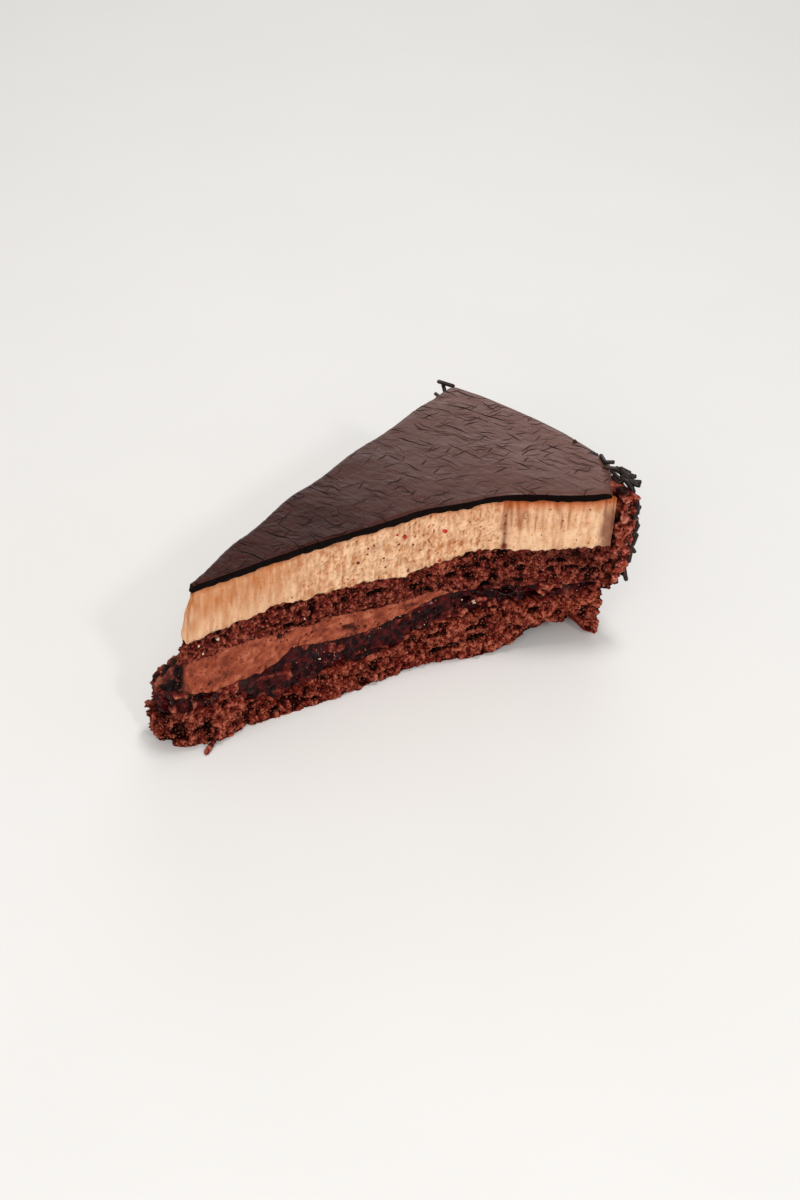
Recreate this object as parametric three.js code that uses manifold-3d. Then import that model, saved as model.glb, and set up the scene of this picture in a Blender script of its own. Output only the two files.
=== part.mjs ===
// A slice of chocolate mousse cake, cut from a round cake of 24 cm.
//
// From the base up: chocolate sponge, a dark cherry and ganache filling, a lens of chocolate mousse,
// a second sponge, a thick layer of coffee cream mousse and a dark chocolate glaze. The rim has a coat
// of chocolate cream with chocolate sprinkles pressed into it. Lengths are in millimetres. Plan
// distances are taken from the tip of the glaze, with +X towards the rim, -Y towards the front cut,
// and z = 0 on the underside.

import * as THREE from 'three';
import { mergeVertices } from 'three/addons/utils/BufferGeometryUtils.js';
import Module from 'manifold-3d';

const wasm = await Module();
wasm.setup();

// ---- driving dimensions ----

const HEIGHT = 49; // underside to the top of the glaze
const LAYER_GAP = 0.3; // between neighbouring layers
const CAKE_AXIS = { x: 1, y: -8.5 }; // the knife missed the middle of the cake by a few millimetres
const MIDDLE = { x: 57.3, y: -0.6 }; // plan centre of the whole slice, which becomes the origin

const COAT_RADIUS = 120; // outside of the coat, so half the width of the whole cake
const COAT_THICKNESS = 5.7;
const COAT_TAPER = 4.2; // how far the outside of the coat draws in towards its foot
const COAT_BARE_FOOT = 17.5; // height of the front corner from which the coat has come away
const COAT_TORN_TAPER = 3.6; // how far its torn edge tapers in there
const BODY_RADIUS = COAT_RADIUS - COAT_THICKNESS - LAYER_GAP; // the layers end here, under the coat

const GLAZE_THICKNESS = 2.2;
const GLAZE_RADIUS = COAT_RADIUS + 1.8;
const GLAZE_LIP = 1.1; // how far the glaze droops over the edge of the coat
const GLAZE_ROUND = { width: 3.4, drop: 1.5 }; // its rounded outer edge
const GLAZE_NICK = 9.4; // how much of the glaze is missing at the front corner of the rim

const SPRINKLE = { length: 5.2, radius: 0.66 };
const SIDE_SPRINKLES = { columns: 16, rows: 7 };
const HEAPED_SPRINKLES = 13;

// Steps of the grid that every layer shares: along the slice, across it.
const STEPS_ALONG = 40;
const STEPS_ACROSS = 5;

// The cuts in plan, as y at a distance x from the tip: the clean upper edge, and the lower edge that
// bulges out below FLARE_HEIGHT. The front cut turns outwards 83 mm from the tip, where the knife was
// set down again.
const FLARE_HEIGHT = 31;
const FRONT_UPPER = [[-8, -0.5], [0, -0.5], [16, -1.9], [30, -3.7], [63, -8.6], [82.5, -14.6],
  [110.5, -32.4]];
const FRONT_LOWER = [[-7, 1.5], [-2, -1.3], [5, -4], [15, -4.4], [36, -8.4], [58, -11.4], [68, -13.8],
  [84, -20.4], [96, -24.5], [106, -27.8], [114, -33]];
const BACK_UPPER = [[-8, 0.5], [0, 0.5], [21, 8.2], [46, 16.3], [76, 23.9], [104, 30.6], [113, 32.7]];
const BACK_LOWER = [[-7, 9.5], [2, 12], [21, 14], [47, 20.5], [76, 27], [104, 32.5], [112, 34]];

// How far the blunt end of the slice stands out beyond the tip of the glaze, at a height z.
const TIP_REACH = [[0, 4.2], [4, 5.6], [12, 6.5], [18, 6.3], [24, 5.2], [28, 3.6], [31, 2.2], [40, 1.2],
  [46, 0]];
const FULL_REACH = 6; // the end is as wide as the lower cuts from this reach on
const TIP_ROUND = 0.27; // the roundness of that end, as a share of its reach

// Heights of the joints between layers, as z at a distance x from the tip, at the front and back cuts.
const FILLING_LOW = {
  front: [[-6, 9], [4, 11], [8, 13.4], [12, 13.2], [16, 8], [26, 5.6], [38, 8.8], [58, 8], [66, 11.8],
    [90, 14]],
  back: [[-6, 9], [10, 8], [30, 7], [60, 9], [90, 12]],
};
const MOUSSE_LOW = {
  front: [[-6, 18], [4, 16.2], [20, 15], [25, 16.2], [28.5, 19.4], [40, 17.2], [50, 16.6], [60, 17.6],
    [74, 20.8], [84, 20.2], [112, 19.4]],
  back: [[-6, 17], [15, 15], [40, 16], [62, 17.5], [74, 20.4], [84, 20.2], [112, 19.4]],
};
const MOUSSE_HIGH = {
  front: [[-6, 26.5], [12, 26.4], [27, 24.1], [40, 24], [52, 22.4], [60, 22], [74, 21.9], [84, 20.6],
    [112, 19.9]],
  back: [[-6, 26.5], [20, 25], [45, 23.5], [60, 22.2], [74, 21.6], [84, 20.6], [112, 19.9]],
};
const CREAM_LOW = {
  front: [[-2, 32], [14, 32.3], [23, 33], [33, 31.6], [48, 31.4], [60, 29.1], [68, 29.8], [79, 32],
    [95, 30.6], [112, 31.5]],
  back: [[-2, 32], [25, 31], [50, 32.2], [78, 30.4], [108, 31.4]],
};
const MOUSSE_END = 75; // the chocolate mousse has thinned to nothing this far from the tip
const MIDDLE_JOINT = 24; // the joints are laid out on the plan at this height

// The underside is flat, apart from a low arch at the front of the rim end, as z at x.
const ARCH = [[85, 0], [93, 3.3], [101, 7], [108, 7.2], [111.5, 0]];

// ---- small functions ----

const clamp01 = (t) => Math.min(1, Math.max(0, t));
const lerp = (a, b, t) => a + (b - a) * t;
const ease = (from, to, x) => {
  const t = clamp01((x - from) / (to - from));
  return t * t * (3 - 2 * t);
};

// A smooth value at x from a few [x, value] stations.
function profile(stations, x) {
  const last = stations.length - 1;
  if (x <= stations[0][0]) return stations[0][1];
  if (x >= stations[last][0]) {
    const [[x0, y0], [x1, y1]] = stations.slice(-2);
    return y1 + ((x - x1) * (y1 - y0)) / (x1 - x0);
  }
  const i = stations.findIndex((s) => s[0] > x) - 1;
  const [x0, y0] = stations[i];
  const [x1, y1] = stations[i + 1];
  const t = (x - x0) / (x1 - x0);
  return lerp(y0, y1, lerp(t, t * t * (3 - 2 * t), 0.5));
}

const hash = (x, y, z) => {
  const s = Math.sin(x * 127.1 + y * 311.7 + z * 74.7) * 43758.5453;
  return s - Math.floor(s);
};

// Value noise from -1 to 1 with lumps of about one cell.
function noise(x, y, z) {
  const [i, j, k] = [Math.floor(x), Math.floor(y), Math.floor(z)];
  const [u, v, w] = [ease(0, 1, x - i), ease(0, 1, y - j), ease(0, 1, z - k)];
  const corner = (a, b, c) => hash(i + a, j + b, k + c);
  const row = (b, c) => lerp(corner(0, b, c), corner(1, b, c), u);
  return 2 * lerp(lerp(row(0, 0), row(1, 0), v), lerp(row(0, 1), row(1, 1), v), w) - 1;
}

// A seeded draw, the same on every run.
function draw(seed) {
  let state = seed;
  return () => {
    state = (Math.imul(state, 1664525) + 1013904223) >>> 0;
    return state / 4294967296;
  };
}

// ---- the plan of the slice ----

// How far a height has left the clean cut for the bulged one: 0 at the cream, 1 at the foot.
function bulge(x, z) {
  const face = clamp01((FLARE_HEIGHT - z) / FLARE_HEIGHT);
  const nose = clamp01(profile(TIP_REACH, z) / FULL_REACH) ** 1.5;
  return lerp(nose, face, clamp01(x / 20));
}

const frontY = (x, z) => lerp(profile(FRONT_UPPER, x), profile(FRONT_LOWER, x), bulge(x, z));
const backY = (x, z) => lerp(profile(BACK_UPPER, x), profile(BACK_LOWER, x), bulge(x, z));

// Where a cut meets a circle about the cake's axis.
function crossing(cutY, z, radius) {
  let near = 60;
  let far = 130;
  for (let i = 0; i < 40; i += 1) {
    const x = (near + far) / 2;
    const outside = Math.hypot(x - CAKE_AXIS.x, cutY(x, z) - CAKE_AXIS.y) > radius;
    if (outside) far = x;
    else near = x;
  }
  return { x: near, y: cutY(near, z) };
}

const bearing = (p) => Math.atan2(p.y - CAKE_AXIS.y, p.x - CAKE_AXIS.x);

// The point of the plan a share u along the slice and v across it, at a height z. rim(v) is the
// radius at which the layer ends.
function planPoint(u, v, z, rim) {
  const reach = profile(TIP_REACH, z);
  const front = crossing(frontY, z, rim(0));
  const back = crossing(backY, z, rim(1));
  const xf = lerp(-reach, front.x, u);
  const xb = lerp(-reach, back.x, u);
  const p = { x: lerp(xf, xb, v), y: lerp(frontY(xf, z), backY(xb, z), v) };
  const angle = lerp(bearing(front), bearing(back), v);
  const arc = { x: CAKE_AXIS.x + rim(v) * Math.cos(angle), y: CAKE_AXIS.y + rim(v) * Math.sin(angle) };
  const chord = { x: lerp(front.x, back.x, v), y: lerp(front.y, back.y, v) };
  const nearRim = u ** 5;
  const nearTip = (1 - u) ** 12;
  p.x += (arc.x - chord.x) * nearRim - TIP_ROUND * reach * 4 * v * (1 - v) * nearTip;
  p.y += (arc.y - chord.y) * nearRim;
  return p;
}

// ---- solids ----

// A closed box of nu by nv by nw cells, bent by point(u, v, w).
function gridSolid(nu, nv, nw, point) {
  const at = (i, j, k) => point(i / nu, j / nv, k / nw);
  const positions = [];
  const quad = (a, b, c, d) => positions.push(...a, ...b, ...c, ...a, ...c, ...d);
  for (let i = 0; i < nu; i += 1) {
    for (let j = 0; j < nv; j += 1) {
      quad(at(i, j, nw), at(i + 1, j, nw), at(i + 1, j + 1, nw), at(i, j + 1, nw));
      quad(at(i, j, 0), at(i, j + 1, 0), at(i + 1, j + 1, 0), at(i + 1, j, 0));
    }
    for (let k = 0; k < nw; k += 1) {
      quad(at(i, 0, k), at(i + 1, 0, k), at(i + 1, 0, k + 1), at(i, 0, k + 1));
      quad(at(i, nv, k), at(i, nv, k + 1), at(i + 1, nv, k + 1), at(i + 1, nv, k));
    }
  }
  for (let j = 0; j < nv; j += 1) {
    for (let k = 0; k < nw; k += 1) {
      quad(at(nu, j, k), at(nu, j + 1, k), at(nu, j + 1, k + 1), at(nu, j, k + 1));
      quad(at(0, j, k), at(0, j, k + 1), at(0, j + 1, k + 1), at(0, j + 1, k));
    }
  }
  const geometry = new THREE.BufferGeometry();
  geometry.setAttribute('position', new THREE.Float32BufferAttribute(positions, 3));
  return mergeVertices(geometry, 1e-4);
}

// How far a cut face or the rim stands out of its plain form: coarse crags and finer crumbs.
function crags(p, z, layer) {
  const coarse = noise(p.x / 5.5 + layer.seed, p.y / 5.5, z / 4);
  const fine = noise(p.x / 2.3, p.y / 2.3 + layer.seed, z / 2);
  return layer.stand + layer.rough * (0.55 * coarse + 0.45 * fine);
}

// One layer of the slice between two surfaces, low(p, v) and high(p, v), on the shared grid.
function layerGeometry(layer) {
  const rim = layer.rim ?? (() => BODY_RADIUS);
  const columns = Math.round(STEPS_ALONG * (layer.share ?? 1));
  return gridSolid(columns, STEPS_ACROSS, layer.rows, (cu, v, w) => {
    const u = (cu * columns) / STEPS_ALONG;
    const guess = planPoint(u, v, MIDDLE_JOINT, rim);
    const z = lerp(layer.low(guess, v), layer.high(guess, v), w);
    const p = planPoint(u, v, z, rim);
    const outward = { x: 0, y: 0 };
    if (v === 0) outward.y = -1;
    if (v === 1) outward.y = 1;
    if (cu === 0) outward.x = -1;
    if (u === 1) outward.x = 0.4; // the rim is pressed smooth by the coat
    const out = crags(p, z, layer);
    return [p.x + outward.x * out, p.y + outward.y * out, z];
  });
}

// The height of a joint between two layers, from its stations at the two cuts.
const joint = (stations) => (p, v) => lerp(profile(stations.front, p.x), profile(stations.back, p.x), v);
const above = (surface) => (p, v) => surface(p, v) + LAYER_GAP;

const underside = (p, v) => Math.max(0, profile(ARCH, p.x)) * clamp01(2 - v * STEPS_ACROSS);

// The glaze is missing from the front corner of the rim, a straight nick one step wide. Past the
// nick it droops over the edge of the coat.
const BARE_SHARE = 1 / STEPS_ACROSS;
const glazeRim = (v) => GLAZE_RADIUS - GLAZE_NICK * (1 - clamp01(v / BARE_SHARE));
const droop = (v) => GLAZE_LIP * clamp01(v / BARE_SHARE - 1);
const radiusAt = (p) => Math.hypot(p.x - CAKE_AXIS.x, p.y - CAKE_AXIS.y);
const glazeLow = (p, v) => {
  const overhang = ease(COAT_RADIUS - 4, COAT_RADIUS, radiusAt(p));
  return HEIGHT - GLAZE_THICKNESS - droop(v) * overhang;
};
const glazeHigh = (p) => {
  const outward = clamp01(1 - (GLAZE_RADIUS - radiusAt(p)) / GLAZE_ROUND.width);
  const rounding = GLAZE_ROUND.drop * (1 - Math.sqrt(1 - outward * outward));
  return HEIGHT - rounding + 0.25 * noise(p.x / 14, p.y / 14, 3);
};

// The chocolate mousse ends on a line of the shared grid.
const reachedBy = (x) => (x + FULL_REACH) / (BODY_RADIUS + FULL_REACH);
const MOUSSE_SHARE = Math.round(STEPS_ALONG * reachedBy(MOUSSE_END)) / STEPS_ALONG;

// stand is how far a layer stands out of the cut, and rough the depth of its crags.

const LAYERS = {
  bottom_sponge: {
    low: underside,
    high: joint(FILLING_LOW),
    rows: 5,
    stand: 0.2,
    rough: 1.5,
    seed: 11,
  },
  cherry_filling: {
    low: above(joint(FILLING_LOW)),
    high: joint(MOUSSE_LOW),
    rows: 3,
    stand: -0.5,
    rough: 0.7,
    seed: 23,
  },
  chocolate_mousse: {
    low: above(joint(MOUSSE_LOW)),
    high: joint(MOUSSE_HIGH),
    rows: 3,
    stand: -0.3,
    rough: 0.35,
    seed: 37,
    share: MOUSSE_SHARE,
  },
  upper_sponge: {
    low: above(joint(MOUSSE_HIGH)),
    high: joint(CREAM_LOW),
    rows: 4,
    stand: 0,
    rough: 1.1,
    seed: 41,
  },
  cream_mousse: {
    low: above(joint(CREAM_LOW)),
    high: (p) => HEIGHT - GLAZE_THICKNESS - LAYER_GAP + 0.2 * noise(p.x / 9, p.y / 9, 5) - 0.2,
    rows: 4,
    stand: -0.3,
    rough: 0.2,
    seed: 53,
  },
  glaze: {
    low: glazeLow,
    high: glazeHigh,
    rows: 2,
    stand: 0.15,
    rough: 0.25,
    seed: 67,
    rim: glazeRim,
  },
};

// ---- the coat on the rim ----

const coatRadius = (z) => COAT_RADIUS - 0.5 - COAT_TAPER * (1 - ease(2, 26, z));
const coatFoot = (v) => LAYER_GAP + COAT_BARE_FOOT * (1 - ease(0.02, 0.17, v));
const COAT_TOP = HEIGHT - GLAZE_THICKNESS - GLAZE_LIP - LAYER_GAP;
const COAT_INNER = BODY_RADIUS + 0.9; // clear of the crags of the layers behind it

// The point a share v of the way round the rim, at a height z and a distance from the cake's axis.
const surfacePoint = (v, z, radius) => {
  const front = bearing(crossing(frontY, z, radius));
  const back = bearing(crossing(backY, z, radius));
  const angle = lerp(front, back, v);
  return { x: CAKE_AXIS.x + radius * Math.cos(angle), y: CAKE_AXIS.y + radius * Math.sin(angle), z, angle };
};

function coatGeometry() {
  return gridSolid(2, 17, 9, (u, v, w) => {
    const z = lerp(coatFoot(v), COAT_TOP + GLAZE_LIP - droop(v) * ease(0, 1, u), w);
    const torn = COAT_TORN_TAPER * (1 - ease(0, 9, z - coatFoot(v))) * (1 - ease(0.02, 0.2, v));
    const lumps = 0.7 * noise(v * 14, z / 3.5, 1) + 0.4 * noise(v * 31, z / 1.7, 2);
    const p = surfacePoint(v, z, lerp(COAT_INNER, coatRadius(z) - torn, u) + lumps * u);
    const outward = { 0: -1, 1: 1 }[v] ?? 0;
    return [p.x, p.y + outward * 0.8 * u * noise(u * 3, z / 2.6, 7), z];
  });
}

// The corner that the glaze left bare, heaped up to the height of the glaze.
function cornerGeometry() {
  return gridSolid(3, 5, 1, (u, v, w) => {
    const across = lerp(0.005, 0.16, v);
    const inner = Math.max(glazeRim(across) + 0.9, COAT_INNER);
    const radius = lerp(inner, COAT_RADIUS - 0.3, u);
    const z = w === 0 ? COAT_TOP - 0.5 : HEIGHT - 0.6 - 1.2 * u * u + 0.5 * noise(u * 4, v * 4, 9);
    const p = surfacePoint(across, z, radius);
    return [p.x, p.y, z];
  });
}

// A sprinkle: a short rod with rounded ends, at a point and along a direction.
function sprinkleGeometry(point, direction, length) {
  const rod = new THREE.CapsuleGeometry(SPRINKLE.radius, length - 2 * SPRINKLE.radius, 1, 5, 1);
  const turn = new THREE.Quaternion().setFromUnitVectors(new THREE.Vector3(0, 1, 0), direction.normalize());
  return rod.applyQuaternion(turn).translate(point.x, point.y, point.z);
}

// Sprinkles over the outside of the coat, one to a cell of a grid and thrown about in it.
function sideSprinkles() {
  const random = draw(7);
  const { columns, rows } = SIDE_SPRINKLES;
  const sprinkles = [];
  for (let i = 0; i < columns; i += 1) {
    for (let k = 0; k < rows; k += 1) {
      const v = (i + 0.15 + 0.7 * random()) / columns;
      const foot = coatFoot(v) + 1.2;
      const z = lerp(foot, COAT_TOP - 1, (k + 0.1 + 0.8 * random()) / rows);
      const at = surfacePoint(v, z, coatRadius(z) + 0.25 + 0.35 * random());
      const lean = (random() - 0.5) * Math.PI * clamp01(Math.min(v, 1 - v) / 0.06);
      const around = new THREE.Vector3(-Math.sin(at.angle), Math.cos(at.angle), 0);
      const along = around.multiplyScalar(Math.sin(lean));
      along.z = Math.cos(lean);
      along.x += 0.25 * (random() - 0.5);
      const room = Math.min(z - coatFoot(v), COAT_TOP - z) / Math.max(0.2, Math.abs(along.z));
      const length = Math.min(SPRINKLE.length * (0.75 + 0.5 * random()), 2 * room);
      sprinkles.push(sprinkleGeometry(at, along, Math.max(length, 2.2)));
    }
  }
  return sprinkles;
}

// Sprinkles heaped on the bare front corner, and three that stick out past the back cut.
function cornerSprinkles() {
  const random = draw(91);
  const sprinkles = [];
  for (let n = 0; n < HEAPED_SPRINKLES; n += 1) {
    const v = lerp(0.01, 0.12, (n + random()) / HEAPED_SPRINKLES);
    const inner = Math.max(glazeRim(v), BODY_RADIUS) + 3;
    const at = surfacePoint(v, HEIGHT - 0.2 + 0.9 * random(), lerp(inner, COAT_RADIUS + 0.2, random()));
    const turn = random() * Math.PI;
    const along = new THREE.Vector3(Math.cos(turn), Math.sin(turn), 0.35 * (random() - 0.3));
    sprinkles.push(sprinkleGeometry(at, along, 3.6 + 1.2 * random()));
  }
  const strays = [
    { z: 44.2, radius: COAT_RADIUS - 2, along: [-0.75, 0.65, 0.1], out: 1.4 },
    { z: 41.8, radius: COAT_RADIUS - 2.6, along: [-0.5, 1, 0.7], out: 0.8 },
    { z: 39.4, radius: COAT_RADIUS - 3.4, along: [-0.2, 1, 0.3], out: 0.6 },
  ];
  for (const stray of strays) {
    const at = surfacePoint(1, stray.z, stray.radius);
    at.y += stray.out;
    sprinkles.push(sprinkleGeometry(at, new THREE.Vector3(...stray.along), SPRINKLE.length));
  }
  return sprinkles;
}

// ---- joining ----

function solidOf(geometry) {
  const bare = geometry.clone();
  bare.deleteAttribute('normal');
  bare.deleteAttribute('uv');
  const merged = mergeVertices(bare, 1e-4);
  const vertProperties = new Float32Array(merged.attributes.position.array);
  const triVerts = new Uint32Array(merged.index.array);
  return new wasm.Manifold(new wasm.Mesh({ numProp: 3, vertProperties, triVerts }));
}

const SLIVER = 0.05; // edges shorter than this are closed up after a union

// The union of some geometries, without any scrap that does not touch the rest.
function joined(geometries) {
  const union = geometries.map(solidOf).reduce((sum, solid) => sum.add(solid));
  const whole = union.asOriginal().simplify(SLIVER);
  const [largest] = whole.decompose().sort((a, b) => b.volume() - a.volume());
  const { vertProperties, triVerts } = largest.getMesh();
  const geometry = new THREE.BufferGeometry();
  geometry.setAttribute('position', new THREE.Float32BufferAttribute(vertProperties, 3));
  geometry.setIndex(new THREE.Uint32BufferAttribute(triVerts, 1));
  return geometry;
}

const rimCoatGeometry = () =>
  joined([coatGeometry(), cornerGeometry(), ...sideSprinkles(), ...cornerSprinkles()]);

// ---- materials ----

const finish = (color, roughness) => new THREE.MeshStandardMaterial({ color, roughness, metalness: 0 });

const MATERIALS = {
  bottom_sponge: finish(0x5a2a20, 0.95),
  cherry_filling: finish(0x25100f, 0.25),
  chocolate_mousse: finish(0x7b4435, 0.7),
  upper_sponge: finish(0x532920, 0.95),
  cream_mousse: finish(0xe6c6a4, 0.6),
  glaze: finish(0x3a2a29, 0.4),
  rim_coat: finish(0x63322a, 0.8),
};

// ---- assembly ----

function named(name, geometry) {
  geometry.computeVertexNormals();
  const mesh = new THREE.Mesh(geometry, MATERIALS[name]);
  mesh.name = name;
  return mesh;
}

const slice = new THREE.Group();
for (const [name, layer] of Object.entries(LAYERS)) slice.add(named(name, layerGeometry(layer)));
slice.add(named('rim_coat', rimCoatGeometry()));
slice.position.set(-MIDDLE.x, -MIDDLE.y, 0);

export default slice;
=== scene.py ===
"""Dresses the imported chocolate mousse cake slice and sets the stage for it.

Every layer of the slice is rebuilt at the place of its CAD node, with the relief of a real cut cake:
sponge granules and pores, wet filling, mousse, knife-drawn cream, creased glaze and a crumbly coat.
Plan lengths are millimetres from the tip of the glaze, as in the CAD source, and turn into metres of
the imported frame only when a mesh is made.
"""

import logging
import math
from dataclasses import dataclass
from enum import Enum
from typing import Any, Callable

import bmesh
import bpy
import numpy as np
from mathutils import Matrix, Vector


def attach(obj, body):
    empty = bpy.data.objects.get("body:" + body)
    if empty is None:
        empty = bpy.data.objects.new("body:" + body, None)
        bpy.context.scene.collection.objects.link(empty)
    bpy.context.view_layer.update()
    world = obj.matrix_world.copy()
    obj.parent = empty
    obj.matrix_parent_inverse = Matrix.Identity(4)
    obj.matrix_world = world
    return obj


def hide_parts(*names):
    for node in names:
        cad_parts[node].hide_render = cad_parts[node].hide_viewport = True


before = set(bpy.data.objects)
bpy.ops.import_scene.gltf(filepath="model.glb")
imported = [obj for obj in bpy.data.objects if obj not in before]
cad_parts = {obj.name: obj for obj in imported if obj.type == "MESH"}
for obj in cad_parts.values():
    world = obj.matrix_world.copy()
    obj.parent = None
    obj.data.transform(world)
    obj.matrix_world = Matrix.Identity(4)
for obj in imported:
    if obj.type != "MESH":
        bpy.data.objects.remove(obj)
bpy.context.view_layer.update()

LOG = logging.getLogger("cake_slice")
Array = np.ndarray
Stations = list[tuple[float, float]]
MM = 0.001

# ---- numbers: easing, noise and cells ----


def lerp(a: Any, b: Any, t: Any) -> Any:
    """Value a share t of the way from a to b."""
    return a + (b - a) * t


def ease(start: float, end: float, x: Any) -> Any:
    """Smooth step from 0 at start to 1 at end."""
    t = np.clip((x - start) / (end - start), 0.0, 1.0)
    return t * t * (3.0 - 2.0 * t)


def profile(stations: Stations, x: Any) -> Array:
    """Smooth value at x from a few stations, as the CAD source reads them.

    Args:
        stations: pairs of position and value, in rising order of position.
        x: where to read the profile.

    Returns:
        The value at each x, carried on in a straight line past the last station.
    """
    xs, ys = np.array(stations, float).T
    x = np.asarray(x, float)
    i = np.clip(np.searchsorted(xs, x, side="right") - 1, 0, len(xs) - 2)
    t = (x - xs[i]) / (xs[i + 1] - xs[i])
    smooth = lerp(t, t * t * (3.0 - 2.0 * t), 0.5)
    weight = np.where(t > 1.0, t, np.where(t < 0.0, 0.0, smooth))
    return lerp(ys[i], ys[i + 1], weight)


def cad_noise(x: Array, y: Array, z: Array) -> Array:
    """Value noise of the CAD source, from -1 to 1, so that the crags fall where its crags are."""
    i, j, k = np.floor(x), np.floor(y), np.floor(z)
    u, v, w = ease(0, 1, x - i), ease(0, 1, y - j), ease(0, 1, z - k)

    def corner(a: int, b: int, c: int) -> Array:
        """Random number at one corner of the cell."""
        s = np.sin((i + a) * 127.1 + (j + b) * 311.7 + (k + c) * 74.7) * 43758.5453
        return s - np.floor(s)

    near = lerp(lerp(corner(0, 0, 0), corner(1, 0, 0), u), lerp(corner(0, 1, 0), corner(1, 1, 0), u), v)
    far = lerp(lerp(corner(0, 0, 1), corner(1, 0, 1), u), lerp(corner(0, 1, 1), corner(1, 1, 1), u), v)
    return 2.0 * lerp(near, far, w) - 1.0


def scatter(i: Array, j: Array, k: Array, seed: int) -> Array:
    """Repeatable random number from 0 to 1 for each whole cell address.

    Args:
        i: cell addresses along x.
        j: cell addresses along y.
        k: cell addresses along z.
        seed: picks another set of numbers.

    Returns:
        One number per cell.
    """
    h = (i * 73856093) ^ (j * 19349663) ^ (k * 83492791) ^ (seed * 26544357)
    h &= 0xFFFFFFFF
    for _ in range(2):
        h = ((h ^ (h >> 16)) * 0x45D9F3B) & 0xFFFFFFFF
    return (h ^ (h >> 16)) / 4294967296.0


def noise(p: Array, size: float | tuple[float, float, float], seed: int) -> Array:
    """Value noise from -1 to 1.

    Args:
        p: points, with x, y and z in the last axis.
        size: size of a lump, one number or one for each axis.
        seed: picks another field.

    Returns:
        The noise at each point.
    """
    q = p / np.asarray(size, float)
    base = np.floor(q)
    t = ease(0, 1, q - base)
    i, j, k = (base[..., axis].astype(np.int64) for axis in range(3))
    total = np.zeros(p.shape[:-1])
    for a in (0, 1):
        for b in (0, 1):
            for c in (0, 1):
                share = np.abs(1 - a - t[..., 0]) * np.abs(1 - b - t[..., 1]) * np.abs(1 - c - t[..., 2])
                total += share * scatter(i + a, j + b, k + c, seed)
    return 2.0 * total - 1.0


def cells(p: Array, size: float | tuple[float, float, float], seed: int) -> tuple[Array, Array, Array]:
    """Nearest random point of a jittered lattice, for granules and pores.

    Args:
        p: points, with x, y and z in the last axis.
        size: spacing of the lattice, one number or one for each axis.
        seed: picks another lattice.

    Returns:
        The distance to the nearest lattice point in cells, the distance to the next nearest, and a
        random number that belongs to the nearest.
    """
    q = p / np.asarray(size, float)
    base = np.floor(q)
    local = q - base
    i, j, k = (base[..., axis].astype(np.int64) for axis in range(3))
    first = np.full(p.shape[:-1], 9.0)
    second = first.copy()
    owner = np.zeros_like(first)
    for a in (-1, 0, 1):
        for b in (-1, 0, 1):
            for c in (-1, 0, 1):
                ii, jj, kk = i + a, j + b, k + c
                dx = a + scatter(ii, jj, kk, seed) - local[..., 0]
                dy = b + scatter(ii, jj, kk, seed + 101) - local[..., 1]
                dz = c + scatter(ii, jj, kk, seed + 211) - local[..., 2]
                d = np.sqrt(dx * dx + dy * dy + dz * dz)
                closer = d < first
                second = np.where(closer, first, np.minimum(second, d))
                first = np.where(closer, d, first)
                owner = np.where(closer, scatter(ii, jj, kk, seed + 307), owner)
    return first, second, owner


def domes(p: Array, size: float | tuple[float, float, float], seed: int) -> tuple[Array, Array]:
    """Packed round granules.

    Args:
        p: points, with x, y and z in the last axis.
        size: spacing of the granules.
        seed: picks another set.

    Returns:
        The height from -1 in the creases to 1 on the crowns, and a random number for each granule.
    """
    first, _, owner = cells(p, size, seed)
    return 1.0 - 2.0 * np.clip(first / 0.85, 0.0, 1.0) ** 1.5, owner


def pits(p: Array, size: float | tuple[float, float, float], reach: tuple[float, float], seed: int) -> Array:
    """Round pores with soft lips.

    Args:
        p: points, with x, y and z in the last axis.
        size: spacing of the pores.
        reach: least and greatest radius of a pore, in cells.
        seed: picks another set.

    Returns:
        The depth from 0 outside a pore to 1 at its middle.
    """
    first, _, owner = cells(p, size, seed)
    radius = lerp(reach[0], reach[1], owner * owner)
    return ease(0.0, 1.0, 1.25 * (1.0 - first / radius))


def crumb_relief(p: Array, seed: int, holes: float = 1.0) -> tuple[Array, Array]:
    """Torn crumb: granules of two sizes on ragged lumps, with pores and irregular hollows.

    Args:
        p: points, with x, y and z in the last axis.
        seed: picks another crumb.
        holes: depth of the pores and hollows against those of the sponge.

    Returns:
        How far each point stands out, in millimetres, and a random number for each granule.
    """
    warp = np.stack([noise(p, 1.9, seed + 50 + axis) for axis in range(3)], -1)
    q = p + 0.45 * warp
    lump, _ = domes(q, 2.2, seed)
    grain, owner = domes(q, 0.8, seed + 1)
    crumb = noise(q, 0.5, seed + 2)
    tear = noise(p, 1.7, seed + 3)
    pore = pits(q, 4.2, (0.1, 0.34), seed + 4)
    small = pits(q, 1.7, (0.06, 0.44), seed + 5)
    hollow = ease(0.2, 0.75, noise(p, (3.4, 3.4, 2.3), seed + 7))
    out = 0.28 * lump + 0.28 * grain + 0.24 * crumb + 0.4 * tear
    return out - holes * (1.7 * pore + 0.9 * small + 1.5 * hollow), owner


def hollows(out: Array, reach: int) -> Array:
    """How far a closed band of rings sinks or swells against what is around it.

    Args:
        out: relief of the band, with rings along the first axis.
        reach: how many vertices either way count as around.

    Returns:
        A value from 0 in a hollow to 1 on a crown.
    """
    rows = np.arange(out.shape[0])
    around = sum(np.roll(out, shift, 1) for shift in range(-reach, reach + 1)) / (2 * reach + 1)
    around = sum(around[np.clip(rows + shift, 0, rows[-1])] for shift in range(-reach, reach + 1))
    local = (out - around / (2 * reach + 1)) / 1.3
    return np.clip(0.5 + 0.75 * local + 0.25 * np.clip(out / 1.2, -1.0, 1.0), 0.0, 1.0)


# ---- the plan that the layers share ----

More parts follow.
